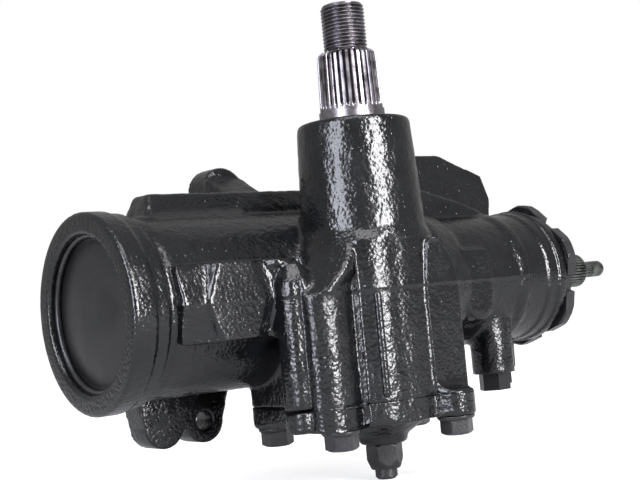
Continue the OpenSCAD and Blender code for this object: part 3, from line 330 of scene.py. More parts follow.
def start_finish(name, metallic=0.0, **shader_values):
    """A material with a Principled shader linked to its output; gives the material and shader."""
    finish = bpy.data.materials.new(name)
    finish.use_nodes = True
    shader = finish.node_tree.nodes["Principled BSDF"]
    shader.inputs["Metallic"].default_value = metallic
    for label, value in shader_values.items():
        shader.inputs[label.replace("_", " ")].default_value = value
    return finish, shader


def use(tree, group, **values):
    """A group placed in a material with its own values."""
    node = add(tree, "ShaderNodeGroup", node_tree=group)
    for label, value in values.items():
        node.inputs[label].default_value = value
    return node


def blend_colours(tree, mask, dark, light):
    """A colour between dark and light, chosen by the mask."""
    mix = add(tree, "ShaderNodeMix", data_type="RGBA")
    mix.inputs["A"].default_value = (*dark, 1.0)
    mix.inputs["B"].default_value = (*light, 1.0)
    tree.links.new(mask, mix.inputs["Factor"])
    return mix.outputs["Result"]


def remap(tree, value, low, high):
    """Stretches the range that most of a noise lies in onto the range low to high."""
    node = add(tree, "ShaderNodeMapRange")
    for label, number in zip(("From Min", "From Max", "To Min", "To Max"), (*NOISE_RANGE, low, high)):
        node.inputs[label].default_value = number
    tree.links.new(value, node.inputs["Value"])
    return node.outputs["Result"]


def raise_skin(tree, shader, height, depth_mm):
    """A bump of the given depth in millimetres on the shader's normal."""
    bump = add(tree, "ShaderNodeBump", Strength_in=1.0, Distance_in=depth_mm * MM)
    tree.links.new(height, bump.inputs["Height"])
    tree.links.new(bump.outputs["Normal"], shader.inputs["Normal"])


def cast_paint(name, dark, light, gloss, scale, depth_mm, speck=0.0):
    """Thick paint over a cast skin: a pebbled bump, and colour and gloss that drift slowly."""
    finish, shader = start_finish(name, Specular_IOR_Level=0.5)
    tree = finish.node_tree
    grain = use(tree, GRAIN, Scale=scale, Speck=speck)
    dirt = use(tree, GRIME, Scale=DIRT_SCALE, Amount=DIRT_AMOUNT)
    tree.links.new(blend_colours(tree, dirt.outputs["Mask"], dark, light), shader.inputs["Base Color"])
    tree.links.new(remap(tree, grain.outputs["Mottle"], *gloss), shader.inputs["Roughness"])
    raise_skin(tree, shader, grain.outputs["Height"], depth_mm)
    return finish


def turned_metal(name, dark, light, gloss, scale=900.0, depth_mm=0.01):
    """Machined metal: fine rings, colour and gloss that change in small patches, and dirt with painted
    shade in the grooves: the colour is darkened where the piece's own groove attribute is 1."""
    finish, shader = start_finish(name, metallic=1.0)
    tree = finish.node_tree
    marks = use(tree, MARKS, Scale=scale)
    patches = remap(tree, marks.outputs["Mottle"], 0.0, 1.0)
    # Painted shade and dirt: the base colour is multiplied by one less the groove value, so hollows go
    # dark.
    groove = add(tree, "ShaderNodeAttribute", attribute_name="groove").outputs["Fac"]
    clean_and_unshaded = math_node(tree, "SUBTRACT", 1.0, groove)
    steel = add(tree, "ShaderNodeMix", data_type="RGBA", blend_type="MULTIPLY", Factor_in=1.0)
    tree.links.new(blend_colours(tree, patches, dark, light), steel.inputs["A"])
    tree.links.new(clean_and_unshaded, steel.inputs["B"])
    tree.links.new(steel.outputs["Result"], shader.inputs["Base Color"])
    tree.links.new(remap(tree, marks.outputs["Mottle"], *gloss), shader.inputs["Roughness"])
    raise_skin(tree, shader, marks.outputs["Height"], depth_mm)
    return finish


print("finish helpers ready")

# %% Finishes
CASTING_PAINT = cast_paint("casting_paint", (0.0014, 0.0015, 0.0019), (0.0042, 0.0046, 0.0056),
                           (0.15, 0.27), 560.0, 0.33, speck=0.6)
PLUG_PAINT = cast_paint("plug_paint", (0.0015, 0.0015, 0.0018), (0.008, 0.0075, 0.009), (0.34, 0.54),
                        700.0, 0.10)
BLACK_FASTENER = cast_paint("black_fastener", (0.004, 0.004, 0.005), (0.030, 0.029, 0.031), (0.20, 0.40),
                            900.0, 0.10)
PLUG_PLASTIC = cast_paint("plug_plastic", (0.004, 0.004, 0.005), (0.010, 0.010, 0.012), (0.28, 0.42),
                          1400.0, 0.03)
RUBBER = cast_paint("rubber", (0.012, 0.012, 0.012), (0.030, 0.030, 0.030), (0.55, 0.75), 1500.0, 0.02)
SEAL_RING = cast_paint("seal_ring_plastic", (0.010, 0.060, 0.045), (0.020, 0.090, 0.065), (0.35, 0.5),
                       1500.0, 0.01)
SHAFT_STEEL = turned_metal("shaft_steel", (0.11, 0.10, 0.11), (0.30, 0.28, 0.30), (0.22, 0.42))
STUB_STEEL = turned_metal("stub_steel", (0.07, 0.074, 0.07), (0.22, 0.23, 0.215), (0.28, 0.46))
GROUND_STEEL = turned_metal("ground_steel", (0.50, 0.50, 0.51), (0.72, 0.72, 0.73), (0.16, 0.28),
                            1600.0, 0.004)
DARK_STEEL = turned_metal("dark_steel", (0.05, 0.05, 0.055), (0.16, 0.16, 0.17), (0.30, 0.48))
BRONZE = turned_metal("bronze", (0.38, 0.24, 0.10), (0.60, 0.42, 0.20), (0.25, 0.40))
FINISH_OF_SLOT = {
    "casting_paint": CASTING_PAINT, "plug_paint": PLUG_PAINT, "black_fastener": BLACK_FASTENER,
    "shaft_steel": SHAFT_STEEL, "stub_steel": STUB_STEEL, "ground_steel": GROUND_STEEL,
    "dark_steel": DARK_STEEL, "rubber": RUBBER, "bronze": BRONZE, "seal_ring_plastic": SEAL_RING,
    "plug_plastic": PLUG_PLASTIC,
}
print("finishes:", len(FINISH_OF_SLOT))

# %% [markdown]
# ## Finishes on the model's own nodes
# Every node keeps its solid and gets a procedural finish in its material slot. The record says which
# slot each node takes, and that slot's name chooses the finish.

# %% Dress the nodes
dressed = 0
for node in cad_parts.values():
    for place in node.material_slots:
        place.material = FINISH_OF_SLOT[place.material.name.split(".")[0]]
        dressed += 1
print("dressed", dressed, "slots")

# %% [markdown]
# ## The casting
# A casting has no sharp corners: molten iron rounds every edge and fills every inner corner, and the
# paint rounds them again. Bevels on a solid with this many crossing forms would fail, so a copy of the
# solid is turned into even small voxels and then relaxed: each point moves towards the mean of its
# neighbours, again and again. That is the heat equation on a surface, and it rounds edges and fills
# corners alike. A weight for each point keeps bored and faced places as they are.

# %% Casting helpers
SAME_CORNER = 2e-6


def merged_copy(node, name, fillers=()):
    """A copy of a node's mesh whose loose triangles are joined at their corners, with closed grids of
    points in millimetres put in as fillers."""
    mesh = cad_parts[node].data.copy()
    mesh.name = name
    if "custom_normal" in mesh.attributes:
        mesh.attributes.remove(mesh.attributes["custom_normal"])
    shell = bmesh.new()
    shell.from_mesh(mesh)
    bmesh.ops.remove_doubles(shell, verts=shell.verts, dist=SAME_CORNER)
    if fillers:
        points, faces = joined(fillers)
        filling = bpy.data.meshes.new("filling")
        filling.from_pydata((points * MM).tolist(), [], faces.tolist())
        shell.from_mesh(filling)
    shell.to_mesh(mesh)
    shell.free()
    return mesh


def through_modifier(mesh, kind, **values):
    """The mesh that a modifier of the given kind makes of this mesh."""
    carrier = bpy.data.objects.new("carrier", mesh)
    scene.collection.objects.link(carrier)
    modifier = carrier.modifiers.new(kind, kind)
    for label, value in values.items():
        setattr(modifier, label, value)
    bpy.context.view_layer.update()
    graph = bpy.context.evaluated_depsgraph_get()
    made = bpy.data.meshes.new_from_object(carrier.evaluated_get(graph))
    bpy.data.objects.remove(carrier)
    return made


def points_of(mesh):
    """All points of a mesh in millimetres."""
    flat = np.empty(len(mesh.vertices) * 3, np.float32)
    mesh.vertices.foreach_get("co", flat)
    return flat.reshape(-1, 3).astype(float) / MM


def relaxed(mesh, points, weight, rounds):
    """Points after some rounds of moving half way to the mean of their neighbours, times a weight:
    the mean is the sum over a point's edges divided by their number."""
    ends = np.empty(len(mesh.edges) * 2, np.int32)
    mesh.edges.foreach_get("vertices", ends)
    first, second = ends.reshape(-1, 2).T
    count = len(points)
    number = np.bincount(first, minlength=count) + np.bincount(second, minlength=count)
    for _ in range(rounds):
        total = np.stack([np.bincount(first, points[second, k], count)
                          + np.bincount(second, points[first, k], count) for k in range(3)], axis=1)
        points = points + 0.5 * weight[:, None] * (total / number[:, None] - points)
    return points


def ramp(value, start, end):
    """0 below start, 1 above end and a smooth step between them."""
    t = np.clip((value - start) / (end - start), 0, 1)
    return t * t * (3 - 2 * t)


print("casting helpers ready")

# %% [markdown]
# ## The pattern's finer forms
# The photograph shows the front wall as a few upright rounds with creases between them, a bar along
# the barrel that falls away above and below its ridge, with a six-sided pad on it. Right of the front
# there is a flat flank with tight corners, and the valve end has turned steps. The skin is dense, so its
# points are pressed onto those forms by formula: along rays from the shaft's axis for the wall, straight
# back for the bar and out from the worm's axis for the steps. The same way keeps the bore, which no side
# shows, clear of the piston. Each circle below is given by its middle and its radius.

# %% Presses
SOLID_ROUNDS = [(0.0, 6.0, 38.5), (-6.71, -9.95, 24.0), (-38.97, -16.28, 14.0)]
SEEN_ROUNDS = [(0.0, 6.0, 38.5), (-10.24, -9.55, 22.0), (-40.0, -8.6, 16.0)]
COLUMN = (20.60, -32.24)
COLUMN_R = 11.0
COLUMN_TOP_R = 7.5
COLUMN_TOP = 22.0
FLANK_START = np.array([9.0, -30.5])
FLANK_END = np.array([30.0, -30.6])
FLANK_CORNER_R = 2.4
FLANK_TOP = 24.0
FLANK_CIRCLES = 24
FLANGE_Z = (-143.6, -141.0)
FLANGE_DRAW = 0.8
FRONT_Y = 3.0
FRONT_TOP_Z = -62.0
FRONT_FADE_Y = (-2.0, 3.0)
FRONT_FADE_H = 6.0
WALL_SHARE = (0.93, 0.97)
PAST_WALL_SHARE = (1.03, 1.08)
NO_COLUMN_R = 0.01
LEAST_REACH = 1.0
BAR_X = (-110.3, -60.5)
BAR_HALF_H = 18.0
BAR_FACE_Y = -4.5
RIDGE_Y = -3.3
RIDGE_FALL = 5.0
BORE_R = 36.0
BORE_END_X = 60.0
BORE_CLEAR = 0.4
JOURNAL_R = 18.0
BORE_BAND = (34.4, 36.6)
BORE_WALL_END = 60.6
BORE_END_BAND = 1.2
VALVE_R = 37.3
VALVE_END_X = 157.0
CAST_PROUD = 1.3
CAST_END = (126.0, 127.5)
COLLAR_START = (141.5, 143.0)
RIM_START = (149.5, 151.0)
ROUND_X = (120.0, 156.2)
ROUND_BAND = (36.3, 39.9)
PAD_X = -81.5
PAD_HALF_W = 16.5
PAD_TOP_HALF_W = 11.2
PAD_EDGE = 0.9
BAR_RIM = (0.97, 1.02)


def reach(angle, rounds):
    """How far a ray from the shaft's axis goes before it leaves a union of circles: for each circle the
    far root of the quadratic of the ray and the circle, and then the largest."""
    ways = np.stack([np.cos(angle), np.sin(angle)])
    far = np.zeros_like(angle)
    for x, y, r in rounds:
        along = ways[0] * x + ways[1] * y
        inside = r * r - x * x - y * y + along ** 2
        far = np.maximum(far, np.where(inside > 0, along + np.sqrt(np.maximum(inside, 0)), 0))
    return far


def solid_reach(angle, height):
    """The reach of the solid's wall, with its column: a cylinder below the worm's height, a cone above."""
    radius = COLUMN_R - (COLUMN_R - COLUMN_TOP_R) * np.clip(height / COLUMN_TOP, 0, 1)
    column = np.where(height < COLUMN_TOP, radius, NO_COLUMN_R)
    return reach(angle, SOLID_ROUNDS + [(*COLUMN, column)])


def seen_reach(angle, height):
    """The reach of the wall in the photograph: a flat flank with round corners, made of circles along
    a line that shortens towards its top as an ellipse does, and the column's round at the flange."""
    long = np.sqrt(np.clip(1 - (np.maximum(height, 0) / FLANK_TOP) ** 2, 0, 1))
    way = (FLANK_END - FLANK_START)[:, None] * long
    flank = [(*(FLANK_START[:, None] + way * step), FLANK_CORNER_R)
             for step in np.linspace(0, 1, FLANK_CIRCLES)]
    at_flange = 1 - ramp(height + WORM_Z, *FLANGE_Z)
    upper = reach(angle, SEEN_ROUNDS + flank)
    lower = reach(angle, SEEN_ROUNDS + [(*COLUMN, COLUMN_R - FLANGE_DRAW)])
    return upper + (lower - upper) * at_flange


def pressed_front(p):
    """Points of the front wall, which lie at the solid's reach, drawn in along rays to the seen reach
    where that is shorter."""
    moved = p.copy()
    front = (p[:, 1] < FRONT_Y) & (p[:, 2] < FRONT_TOP_Z)
    x, y, z = p[front].T
    angle = np.arctan2(y, x)
    solid = solid_reach(angle, z - WORM_Z)
    away = np.hypot(x, y)
    ratio = np.minimum(seen_reach(angle, z - WORM_Z), solid) / np.maximum(away, LEAST_REACH)
    share = away / np.maximum(solid, LEAST_REACH)
    amount = ramp(share, *WALL_SHARE) * (1 - ramp(share, *PAST_WALL_SHARE))
    amount *= ramp(-y, *FRONT_FADE_Y) * ramp(FRONT_TOP_Z - z, 0.0, FRONT_FADE_H)
    moved[front, :2] *= (1 + amount * (ratio - 1))[:, None]
    return moved


def pressed_bar(p):
    """Front points of the bar set to a ridge that falls linearly with height, or to the pad's face
    inside a hexagon whose half width also falls linearly with height."""
    x, y, z = p.T
    height = np.abs(z - WORM_Z) / BAR_HALF_H
    half_w = PAD_HALF_W - (PAD_HALF_W - PAD_TOP_HALF_W) * height
    on_pad = ramp(half_w - np.abs(x - PAD_X), -PAD_EDGE, PAD_EDGE)
    ridge = RIDGE_Y + RIDGE_FALL * height
    face = ridge + on_pad * (BAR_FACE_Y - ridge)
    on_bar = (x > BAR_X[0]) & (x < BAR_X[1]) & (height < BAR_RIM[1]) & (y < FRONT_Y)
    flat = np.where(height > BAR_RIM[0], np.maximum(y, face), face)
    return np.stack([x, np.where(on_bar, flat, y), z], axis=1)


def about_worm(x, y, z, factor):
    """Points whose distances from the worm's axis are multiplied by a factor."""
    return np.stack([x, WORM_Y + (y - WORM_Y) * factor, WORM_Z + (z - WORM_Z) * factor], axis=1)


def pressed_rings(p):
    """The round of the valve end set to steps of radius: the cast part stands proud, then a turned
    length, a collar and the rim follow, each a smooth step along the worm's axis."""
    x, y, z = p.T
    away = np.hypot(y - WORM_Y, z - WORM_Z)
    radius = VALVE_R + CAST_PROUD * (1 - ramp(x, *CAST_END))
    radius += ramp(x, *COLLAR_START) + ramp(x, *RIM_START)
    on_round = (x > ROUND_X[0]) & (x < ROUND_X[1])
    on_round &= (away > ROUND_BAND[0]) & (away < ROUND_BAND[1])
    return about_worm(x, y, z, np.where(on_round, radius / np.maximum(away, LEAST_REACH), 1.0))


def pressed_bore(p):
    """The piston bore kept clear of the piston: points near its wall go out to the bore's radius and a
    little more, and points near its end face go a little past the bore's end."""
    x, y, z = p.T
    away = np.hypot(y - WORM_Y, z - WORM_Z)
    on_wall = (away > BORE_BAND[0]) & (away < BORE_BAND[1]) & (x < BORE_WALL_END)
    on_end = (away > JOURNAL_R) & (away < BORE_BAND[1]) & (np.abs(x - BORE_END_X) < BORE_END_BAND)
    outer = (BORE_R + BORE_CLEAR) / np.maximum(away, LEAST_REACH)
    past = np.where(on_end, np.maximum(x, BORE_END_X + BORE_CLEAR), x)
    return about_worm(past, y, z, np.where(on_wall, np.maximum(1.0, outer), 1.0))


print("presses ready: front wall, bar, rings and bore")

# %% Casting steps
VOXEL = 0.9
LUMP_HEIGHT = 0.055
SEAM_HEIGHT = 0.4
SEAM_HALF_W = 1.5
LUMP_LENGTHS = (7.5, 3.8)
LUMP_SEED = 7
TRIANGLE_LIMIT = 190000
JOINT_Z = -144.6
TOWER_TOP_Z = -5.5
BARREL_X = -110.6
FRAME_FACE_Y = 91.0
WEB_X = 66.0
CHAMBER_Y = 7.0
CHAMBER_TOP_Z = -68.0
SHAFT_BORE_Z = -70.0
BAR_FRONT_Y = 4.0
SKIN_R_BORE = 36.6
SKIN_R_VALVE = 33.0
SKIN_R_CHAMBER = 33.6
SKIN_R_SHAFT = 22.6
FACED = 0.10
RIM_FACED = 0.06
TURNED_DROP = 0.85
BAR_DROP = 0.7


def eased(kept, distance, start, end):
    """A weight that rises from a kept share to 1 as the distance goes from start to end."""
    return kept + (1 - kept) * ramp(distance, start, end)


def casting_weights(p):
    """1 on the cast skin and near 0 on faced and bored places, by distance from each of them."""
    x, y, z = p.T
    from_worm = np.hypot(y - WORM_Y, z - WORM_Z)
    from_shaft = np.hypot(x, y)
    from_chamber = np.hypot(x, y - CHAMBER_Y)
    weight = eased(FACED, x - BARREL_X, -3.0, 1.0)
    weight *= eased(RIM_FACED, VALVE_END_X - x, 5.0, 9.0)
    weight *= 1 - TURNED_DROP * ramp(x - CAST_END[0], -3.0, 0.0) * (from_worm < ROUND_BAND[1])
    weight *= ramp(z - JOINT_Z, 0.6, 3.0)
    weight *= eased(FACED, TOWER_TOP_Z - z, 0.8, 3.0)
    weight *= eased(FACED, FRAME_FACE_Y - y, 0.5, 3.0)
    on_bar = (y < BAR_FRONT_Y) & (x > BAR_X[0]) & (x < BAR_X[1]) & (np.abs(z - WORM_Z) < BAR_HALF_H + 1)
    weight *= 1 - BAR_DROP * on_bar
    bored = (from_worm < SKIN_R_BORE) & (x < WEB_X)
    bored |= (from_worm < SKIN_R_VALVE) & (x >= WEB_X)
    bored |= (from_chamber < SKIN_R_CHAMBER) & (z < CHAMBER_TOP_Z)
    bored |= (from_shaft < SKIN_R_SHAFT) & (z > SHAFT_BORE_Z)
    return np.where(bored, 0.0, weight)


def lumps(p, length, waves=24):
    """A lumpy field of about unit size: a sum of plane waves of one length, in directions and at
    phases drawn once from a fixed seed."""
    draw = np.random.default_rng(LUMP_SEED)
    ways = draw.normal(size=(waves, 3))
    ways *= FULL_TURN / length / np.linalg.norm(ways, axis=1)[:, None]
    return np.cos(p @ ways.T + draw.uniform(0, FULL_TURN, waves)).sum(axis=1) / np.sqrt(waves / 2)


def cast_relief(p, weight):
    """How far the sand's print stands out: lumps of two sizes, and a ridge along the parting plane whose
    height falls off with the square of the distance, all on the cast skin only."""
    seam = SEAM_HEIGHT * np.clip(1 - ((p[:, 2] - WORM_Z) / SEAM_HALF_W) ** 2, 0, 1)
    coarse, fine = (lumps(p, length) for length in LUMP_LENGTHS)
    return weight * (LUMP_HEIGHT * (coarse + 0.5 * fine) + seam)


def casting(node, name, voxel, weights, rounds, presses=(), fillers=(), clear=0.0):
    """A node's solid as an even, relaxed skin with the sand's print on it, kept inside the model's box
    and thinned to the triangle limit; presses move its points first, and points of weight 0, which are
    bores, draw back by the clearance."""
    solid = merged_copy(node, name, fillers)
    mesh = through_modifier(solid, "REMESH", mode="VOXEL", voxel_size=voxel * MM)
    points = points_of(mesh)
    weight = weights(points)
    for press in presses:
        points = press(points)
    points = relaxed(mesh, points, weight, rounds)
    mesh.vertices.foreach_set("co", (points * MM).ravel())
    mesh.update()
    outwards = np.empty(len(points) * 3, np.float32)
    mesh.vertex_normals.foreach_get("vector", outwards)
    out = cast_relief(points, weight) - clear * (weight <= 0)
    points = points + out[:, None] * outwards.reshape(-1, 3)
    points = np.clip(points, *(np.array(cad_box) / MM))
    mesh.vertices.foreach_set("co", (points * MM).ravel())
    mesh.update()
    triangles = 2 * len(mesh.polygons)
    if triangles > TRIANGLE_LIMIT:
        mesh = through_modifier(mesh, "DECIMATE", ratio=TRIANGLE_LIMIT / triangles)
    mesh.name = name
    mesh.shade_smooth()
    return mesh


print("casting steps ready")

# %% [markdown]
# ## The housing and its cover
# Two upright rounds go into the housing before it is turned into voxels. One closes a bolt hole behind
# the flat flank, which is thinner there than the hole. The other closes the pocket left of the front
# boss, where the photograph shows an even wall, and the cover's rim follows it below the joint.

# %% Housing casting
HOUSING_ROUNDS = 14
SKIN_CLEAR = 0.2
FILLING_STEP = 2.0
HOLE_FILL_R = 5.2
HOLE_FILL_Z = (-144.0, -128.0)
WALL_ROUND = (-50.0, -5.0)
WALL_ROUND_R = 10.0
WALL_ROUND_Z = (-144.0, -84.0)
WALL_ROUND_TOP = (4.0, -74.0)


def upright(profile, around, place):
    """A filler turned about an upright axis at a place, from a profile of radius and height pairs."""
    return turned(refined(profile, FILLING_STEP), around) + np.array([*place, 0.0])


def plain_rod(radius, ends):
    """The profile of a plain closed rod between two heights."""
    return [(0, ends[0]), (radius, ends[0]), (radius, ends[1]), (0, ends[1])]


hole_filling = upright(plain_rod(HOLE_FILL_R, HOLE_FILL_Z), 24, COLUMN)
wall_profile = plain_rod(WALL_ROUND_R, WALL_ROUND_Z)[:-1] + [WALL_ROUND_TOP, (0, WALL_ROUND_TOP[1])]
wall_filling = upright(wall_profile, 48, WALL_ROUND)
housing_presses = (pressed_front, pressed_bar, pressed_rings, pressed_bore)
housing_skin = casting("housing", "housing_casting", VOXEL, casting_weights, HOUSING_ROUNDS,
                       housing_presses, (hole_filling, wall_filling), SKIN_CLEAR)
place_piece("housing_casting", housing_skin, CASTING_PAINT, "housing", ("housing",))

# %% Side cover casting
COVER_VOXEL = 0.9
COVER_ROUNDS = 10
COVER_RIM_Z = (-155.4, -145.0)
LASH_HOLE_R = 6.6


def cover_weights(p):
    """1 on the cast outside of the cover, 0 on its joint face and in its middle hole."""
    x, y, z = p.T
    return ramp(JOINT_Z - z, 0.6, 2.5) * (np.hypot(x, y) >= LASH_HOLE_R)


rim_filling = upright(plain_rod(WALL_ROUND_R, COVER_RIM_Z), 48, WALL_ROUND)
cover_skin = casting("side_cover", "side_cover_casting", COVER_VOXEL, cover_weights, COVER_ROUNDS,
                     (pressed_front,), (rim_filling,))
place_piece("side_cover_casting", cover_skin, CASTING_PAINT, "housing", ("side_cover",))

# %% [markdown]
# ## Bead on the front wall
# An upright bead runs down the front wall from the parting seam to the flange. It is a long round-ended
# rod, mostly sunk in the wall: a turned profile of two quarter circles and a straight side.

# %% Bead
BEAD_R = 2.0
BEAD_PLACE = (-19.2, -28.8)
BEAD_Z = (-142.5, -91.5)


def bead(x, y):
    """A round-ended rod: the radius follows a quarter circle at each end and is constant between."""
    low, high = BEAD_Z
    quarter = np.linspace(0, np.pi / 2, 7)
    foot = np.stack([BEAD_R * np.sin(quarter), low + BEAD_R * (1 - np.cos(quarter))], axis=1)
    head = np.stack([BEAD_R * np.cos(quarter), high - BEAD_R * (1 - np.sin(quarter))], axis=1)
    return turned(refined(np.vstack([foot, head]), 1.5), 16) + np.array([x, y, 0])


grid_piece("front_wall_bead", [bead(*BEAD_PLACE)], CASTING_PAINT, "housing")

# %% [markdown]
# ## Cover bolts and lash nut
# A hexagon is a radius that grows towards its corners: half the width across the flats divided by the
# cosine of the angle from the nearest flat. Where a turned chamfer gives a smaller radius, the smaller
# one wins, and that draws the curved edges that a real chamfer leaves on the flats.

# %% Bolts
BOLT_PLACES = [(44.44, 25.30), (-35.47, 40.83), (-38.97, -16.28), (20.60, -32.24)]
COVER_Z = -155.6
BOLT_SHANK_R = 4.55
BOLT_SHANK_TOP = 10.8
BOLT_HEAD_H = 9.4
BOLT_CORNER_R = 8.26
BOLT_FLATS = 14.3
BOLT_FLANGE_R = 9.4
HEXAGON_AROUND = 96


def hexagon(flats, low, high):
    """A radius function: a hexagon between two stations, round elsewhere."""
    def shape(radius, station, angle):
        from_flat = (angle + np.pi / 6) % (np.pi / 3) - np.pi / 6
        six = flats / 2 / np.cos(from_flat)
        inside = (station >= low) & (station <= high)
        return np.where(inside, np.minimum(radius, six), radius)
    return shape


def cover_bolt():
    """A flanged bolt with its head down: a turned profile whose head is cut to a hexagon. Its shank ends
    at the joint, so that none of it shows beside the drawn-in flank."""
    head = [(0, -BOLT_HEAD_H), (5.9, -BOLT_HEAD_H), (6.6, -9.1), (BOLT_CORNER_R, -8.2),
            (BOLT_CORNER_R, -2.6)]
    flange = [(8.5, -2.2), (9.2, -1.3), (BOLT_FLANGE_R, -0.8), (BOLT_FLANGE_R, -0.1), (9.2, 0.0)]
    shank = [(BOLT_SHANK_R, 0.0), (BOLT_SHANK_R, 10.2), (3.9, BOLT_SHANK_TOP), (0, BOLT_SHANK_TOP)]
    return turned(refined(head + flange + shank, 0.6), HEXAGON_AROUND, hexagon(BOLT_FLATS, -9.5, -2.1))


bolt = cover_bolt()
bolts = [bolt + np.array([x, y, COVER_Z]) for x, y in BOLT_PLACES]
grid_piece("cover_bolts_forged", bolts, BLACK_FASTENER, "housing", ("side_cover_bolts",))

# %% Lash nut
LASH_BOSS_Z = -167.4
LASH_NUT_H = 12.6
LASH_NUT_BORE = 5.6
LASH_NUT_CORNER_R = 9.24
LASH_NUT_FLATS = 16.0


def lash_nut():
    """A tall nut with a cone at its lower end, cut to a hexagon, with an open round bore."""
    profile = [(LASH_NUT_BORE, -LASH_NUT_H), (7.0, -LASH_NUT_H), (7.4, -12.2), (LASH_NUT_CORNER_R, -7.6),
               (LASH_NUT_CORNER_R, -0.9), (8.3, 0.0), (LASH_NUT_BORE, 0.0), (LASH_NUT_BORE, -LASH_NUT_H)]
    shape = hexagon(LASH_NUT_FLATS, -13.0, 0.1)
    return turned(refined(profile, 0.5), HEXAGON_AROUND, shape) + np.array([0, 0, LASH_BOSS_Z])


grid_piece("lash_nut_forged", [lash_nut()], BLACK_FASTENER, "housing", ("lash_nut",))

# %% [markdown]
# ## Lock nut of the adjuster
# The big nut at the valve end is a thin six-sided ring with a spanner slot in each side. Its outline is
# the smaller of a circle and a hexagon, and the slots are a third radius that wins inside their width.

# %% Lock nut
LOCK_NUT_X = (157.0, 164.0)
LOCK_NUT_R = 42.6
LOCK_NUT_FLATS = 77.4
LOCK_NUT_BORE = 32.1
LOCK_NUT_TURN = np.radians(11)
SLOT_HALF_W = 5.0
SLOT_FLOOR = 35.8
NUT_EDGE = 1.0
NUT_FACE_EDGE = 1.5
BORE_EDGE = 0.5
NUT_AROUND = 720


def slotted_six(radius, station, angle):
    """The smaller of the turned radius and the hexagon, cut to the slot's floor where the distance
    across a slot's middle is under half its width; the bore stays round."""
    from_flat = (angle - LOCK_NUT_TURN + np.pi / 6) % (np.pi / 3) - np.pi / 6
    six = LOCK_NUT_FLATS / 2 / np.cos(from_flat)
    outline = np.minimum(radius, six)
    in_slot = np.abs(outline * np.sin(from_flat)) < SLOT_HALF_W
    outline = np.where(in_slot, np.minimum(outline, SLOT_FLOOR), outline)
    return np.where(radius > LOCK_NUT_BORE + BORE_EDGE, outline, radius)


nut_start, nut_end = LOCK_NUT_X
nut_profile = [(LOCK_NUT_BORE, nut_start), (LOCK_NUT_R - NUT_EDGE, nut_start),
               (LOCK_NUT_R, nut_start + NUT_EDGE), (LOCK_NUT_R, nut_end - NUT_FACE_EDGE),
               (LOCK_NUT_R - NUT_FACE_EDGE, nut_end), (LOCK_NUT_BORE, nut_end), (LOCK_NUT_BORE, nut_start)]
lock_nut = along_worm(turned(refined(nut_profile, 0.8), NUT_AROUND, slotted_six))
grid_piece("lock_nut_slotted", [lock_nut], BLACK_FASTENER, "housing",
           ("adjuster_lock_nut",))

# %% [markdown]
# ## Sector shaft
# The shaft keeps its forged solid up to the arm's seat. Above it, the serrations and the thread are
# radius functions. A serration repeats with the angle and fades out at the seat, where the cutter ran
# out. A thread depends on the station less the pitch times the turns, so its crest climbs.

# %% Shaft body
SEAT_Z = 1e-5
FORGING_SHARP_DEG = 30


def below_seat(node, name):
    """A merged copy of the shaft without the faces above the arm's seat, with the hole closed."""
    mesh = merged_copy(node, name)
    shell = bmesh.new()
    shell.from_mesh(mesh)
    above = [f for f in shell.faces if f.calc_center_median().z > SEAT_Z]
    bmesh.ops.delete(shell, geom=above, context="FACES")
    bmesh.ops.holes_fill(shell, edges=[e for e in shell.edges if e.is_boundary])
    shell.to_mesh(mesh)
    shell.free()
    mesh.shade_smooth()
    mesh.set_sharp_from_angle(angle=np.radians(FORGING_SHARP_DEG))
    return mesh


forging = below_seat("sector_shaft", "sector_shaft_forging")
place_piece("sector_shaft_forging", forging, SHAFT_STEEL, "sector", ("sector_shaft",))

# %% Serrations and thread
SERRATIONS = 32
SERRATION_TOP = 30.0
SERRATION_DEPTH = 1.55
SERRATION_R = 15.875
# How dark the dirt and painted shade make the serrations' valleys.
SERRATION_DIRT_AND_SHADE = 0.9
POINTS_PER_TOOTH = 14
THREAD_TOP = 54.4
THREAD_PITCH = 1.814
THREAD_DEPTH = 1.05
THREAD_R = 11.1
THREAD_RUN_IN = (31.0, 32.4)
# How dark the dirt and painted shade make the thread's roots.
THREAD_DIRT_AND_SHADE = 0.7
THREAD_AROUND = 96


def serrations(radius, station, angle):
    """Crowned teeth: the radius drops by the depth in a rounded valley once in each tooth, and the
    valley fades out over the lowest three millimetres."""
    phase = np.abs((angle * SERRATIONS / FULL_TURN) % 1 - 0.5) * 2
    valley = ramp(phase, 0.42, 0.92)
    depth = SERRATION_DEPTH * ramp(station, 0.6, 3.4)
    return radius - depth * valley


def thread(radius, station, angle):
    """A V thread: its depth follows a triangle wave of station over pitch less turns, with crest and
    root cut flat, and the groove fades in below the chamfer."""
    wave = np.abs((station / THREAD_PITCH - angle / FULL_TURN) % 1 - 0.5) * 2
    groove = THREAD_DEPTH * np.clip(wave * 1.35 - 0.12, 0, 1)
    return np.minimum(radius, THREAD_R - groove * ramp(station, *THREAD_RUN_IN))


def depth_share(grid, smooth, depth):
    """How deep each point lies under the smooth surface of the same profile, as a share of a depth."""
    deep, full = (np.hypot(*np.moveaxis(points[..., :2], -1, 0)) for points in (grid, smooth))
    return np.clip((full - deep) / depth, 0, 1)


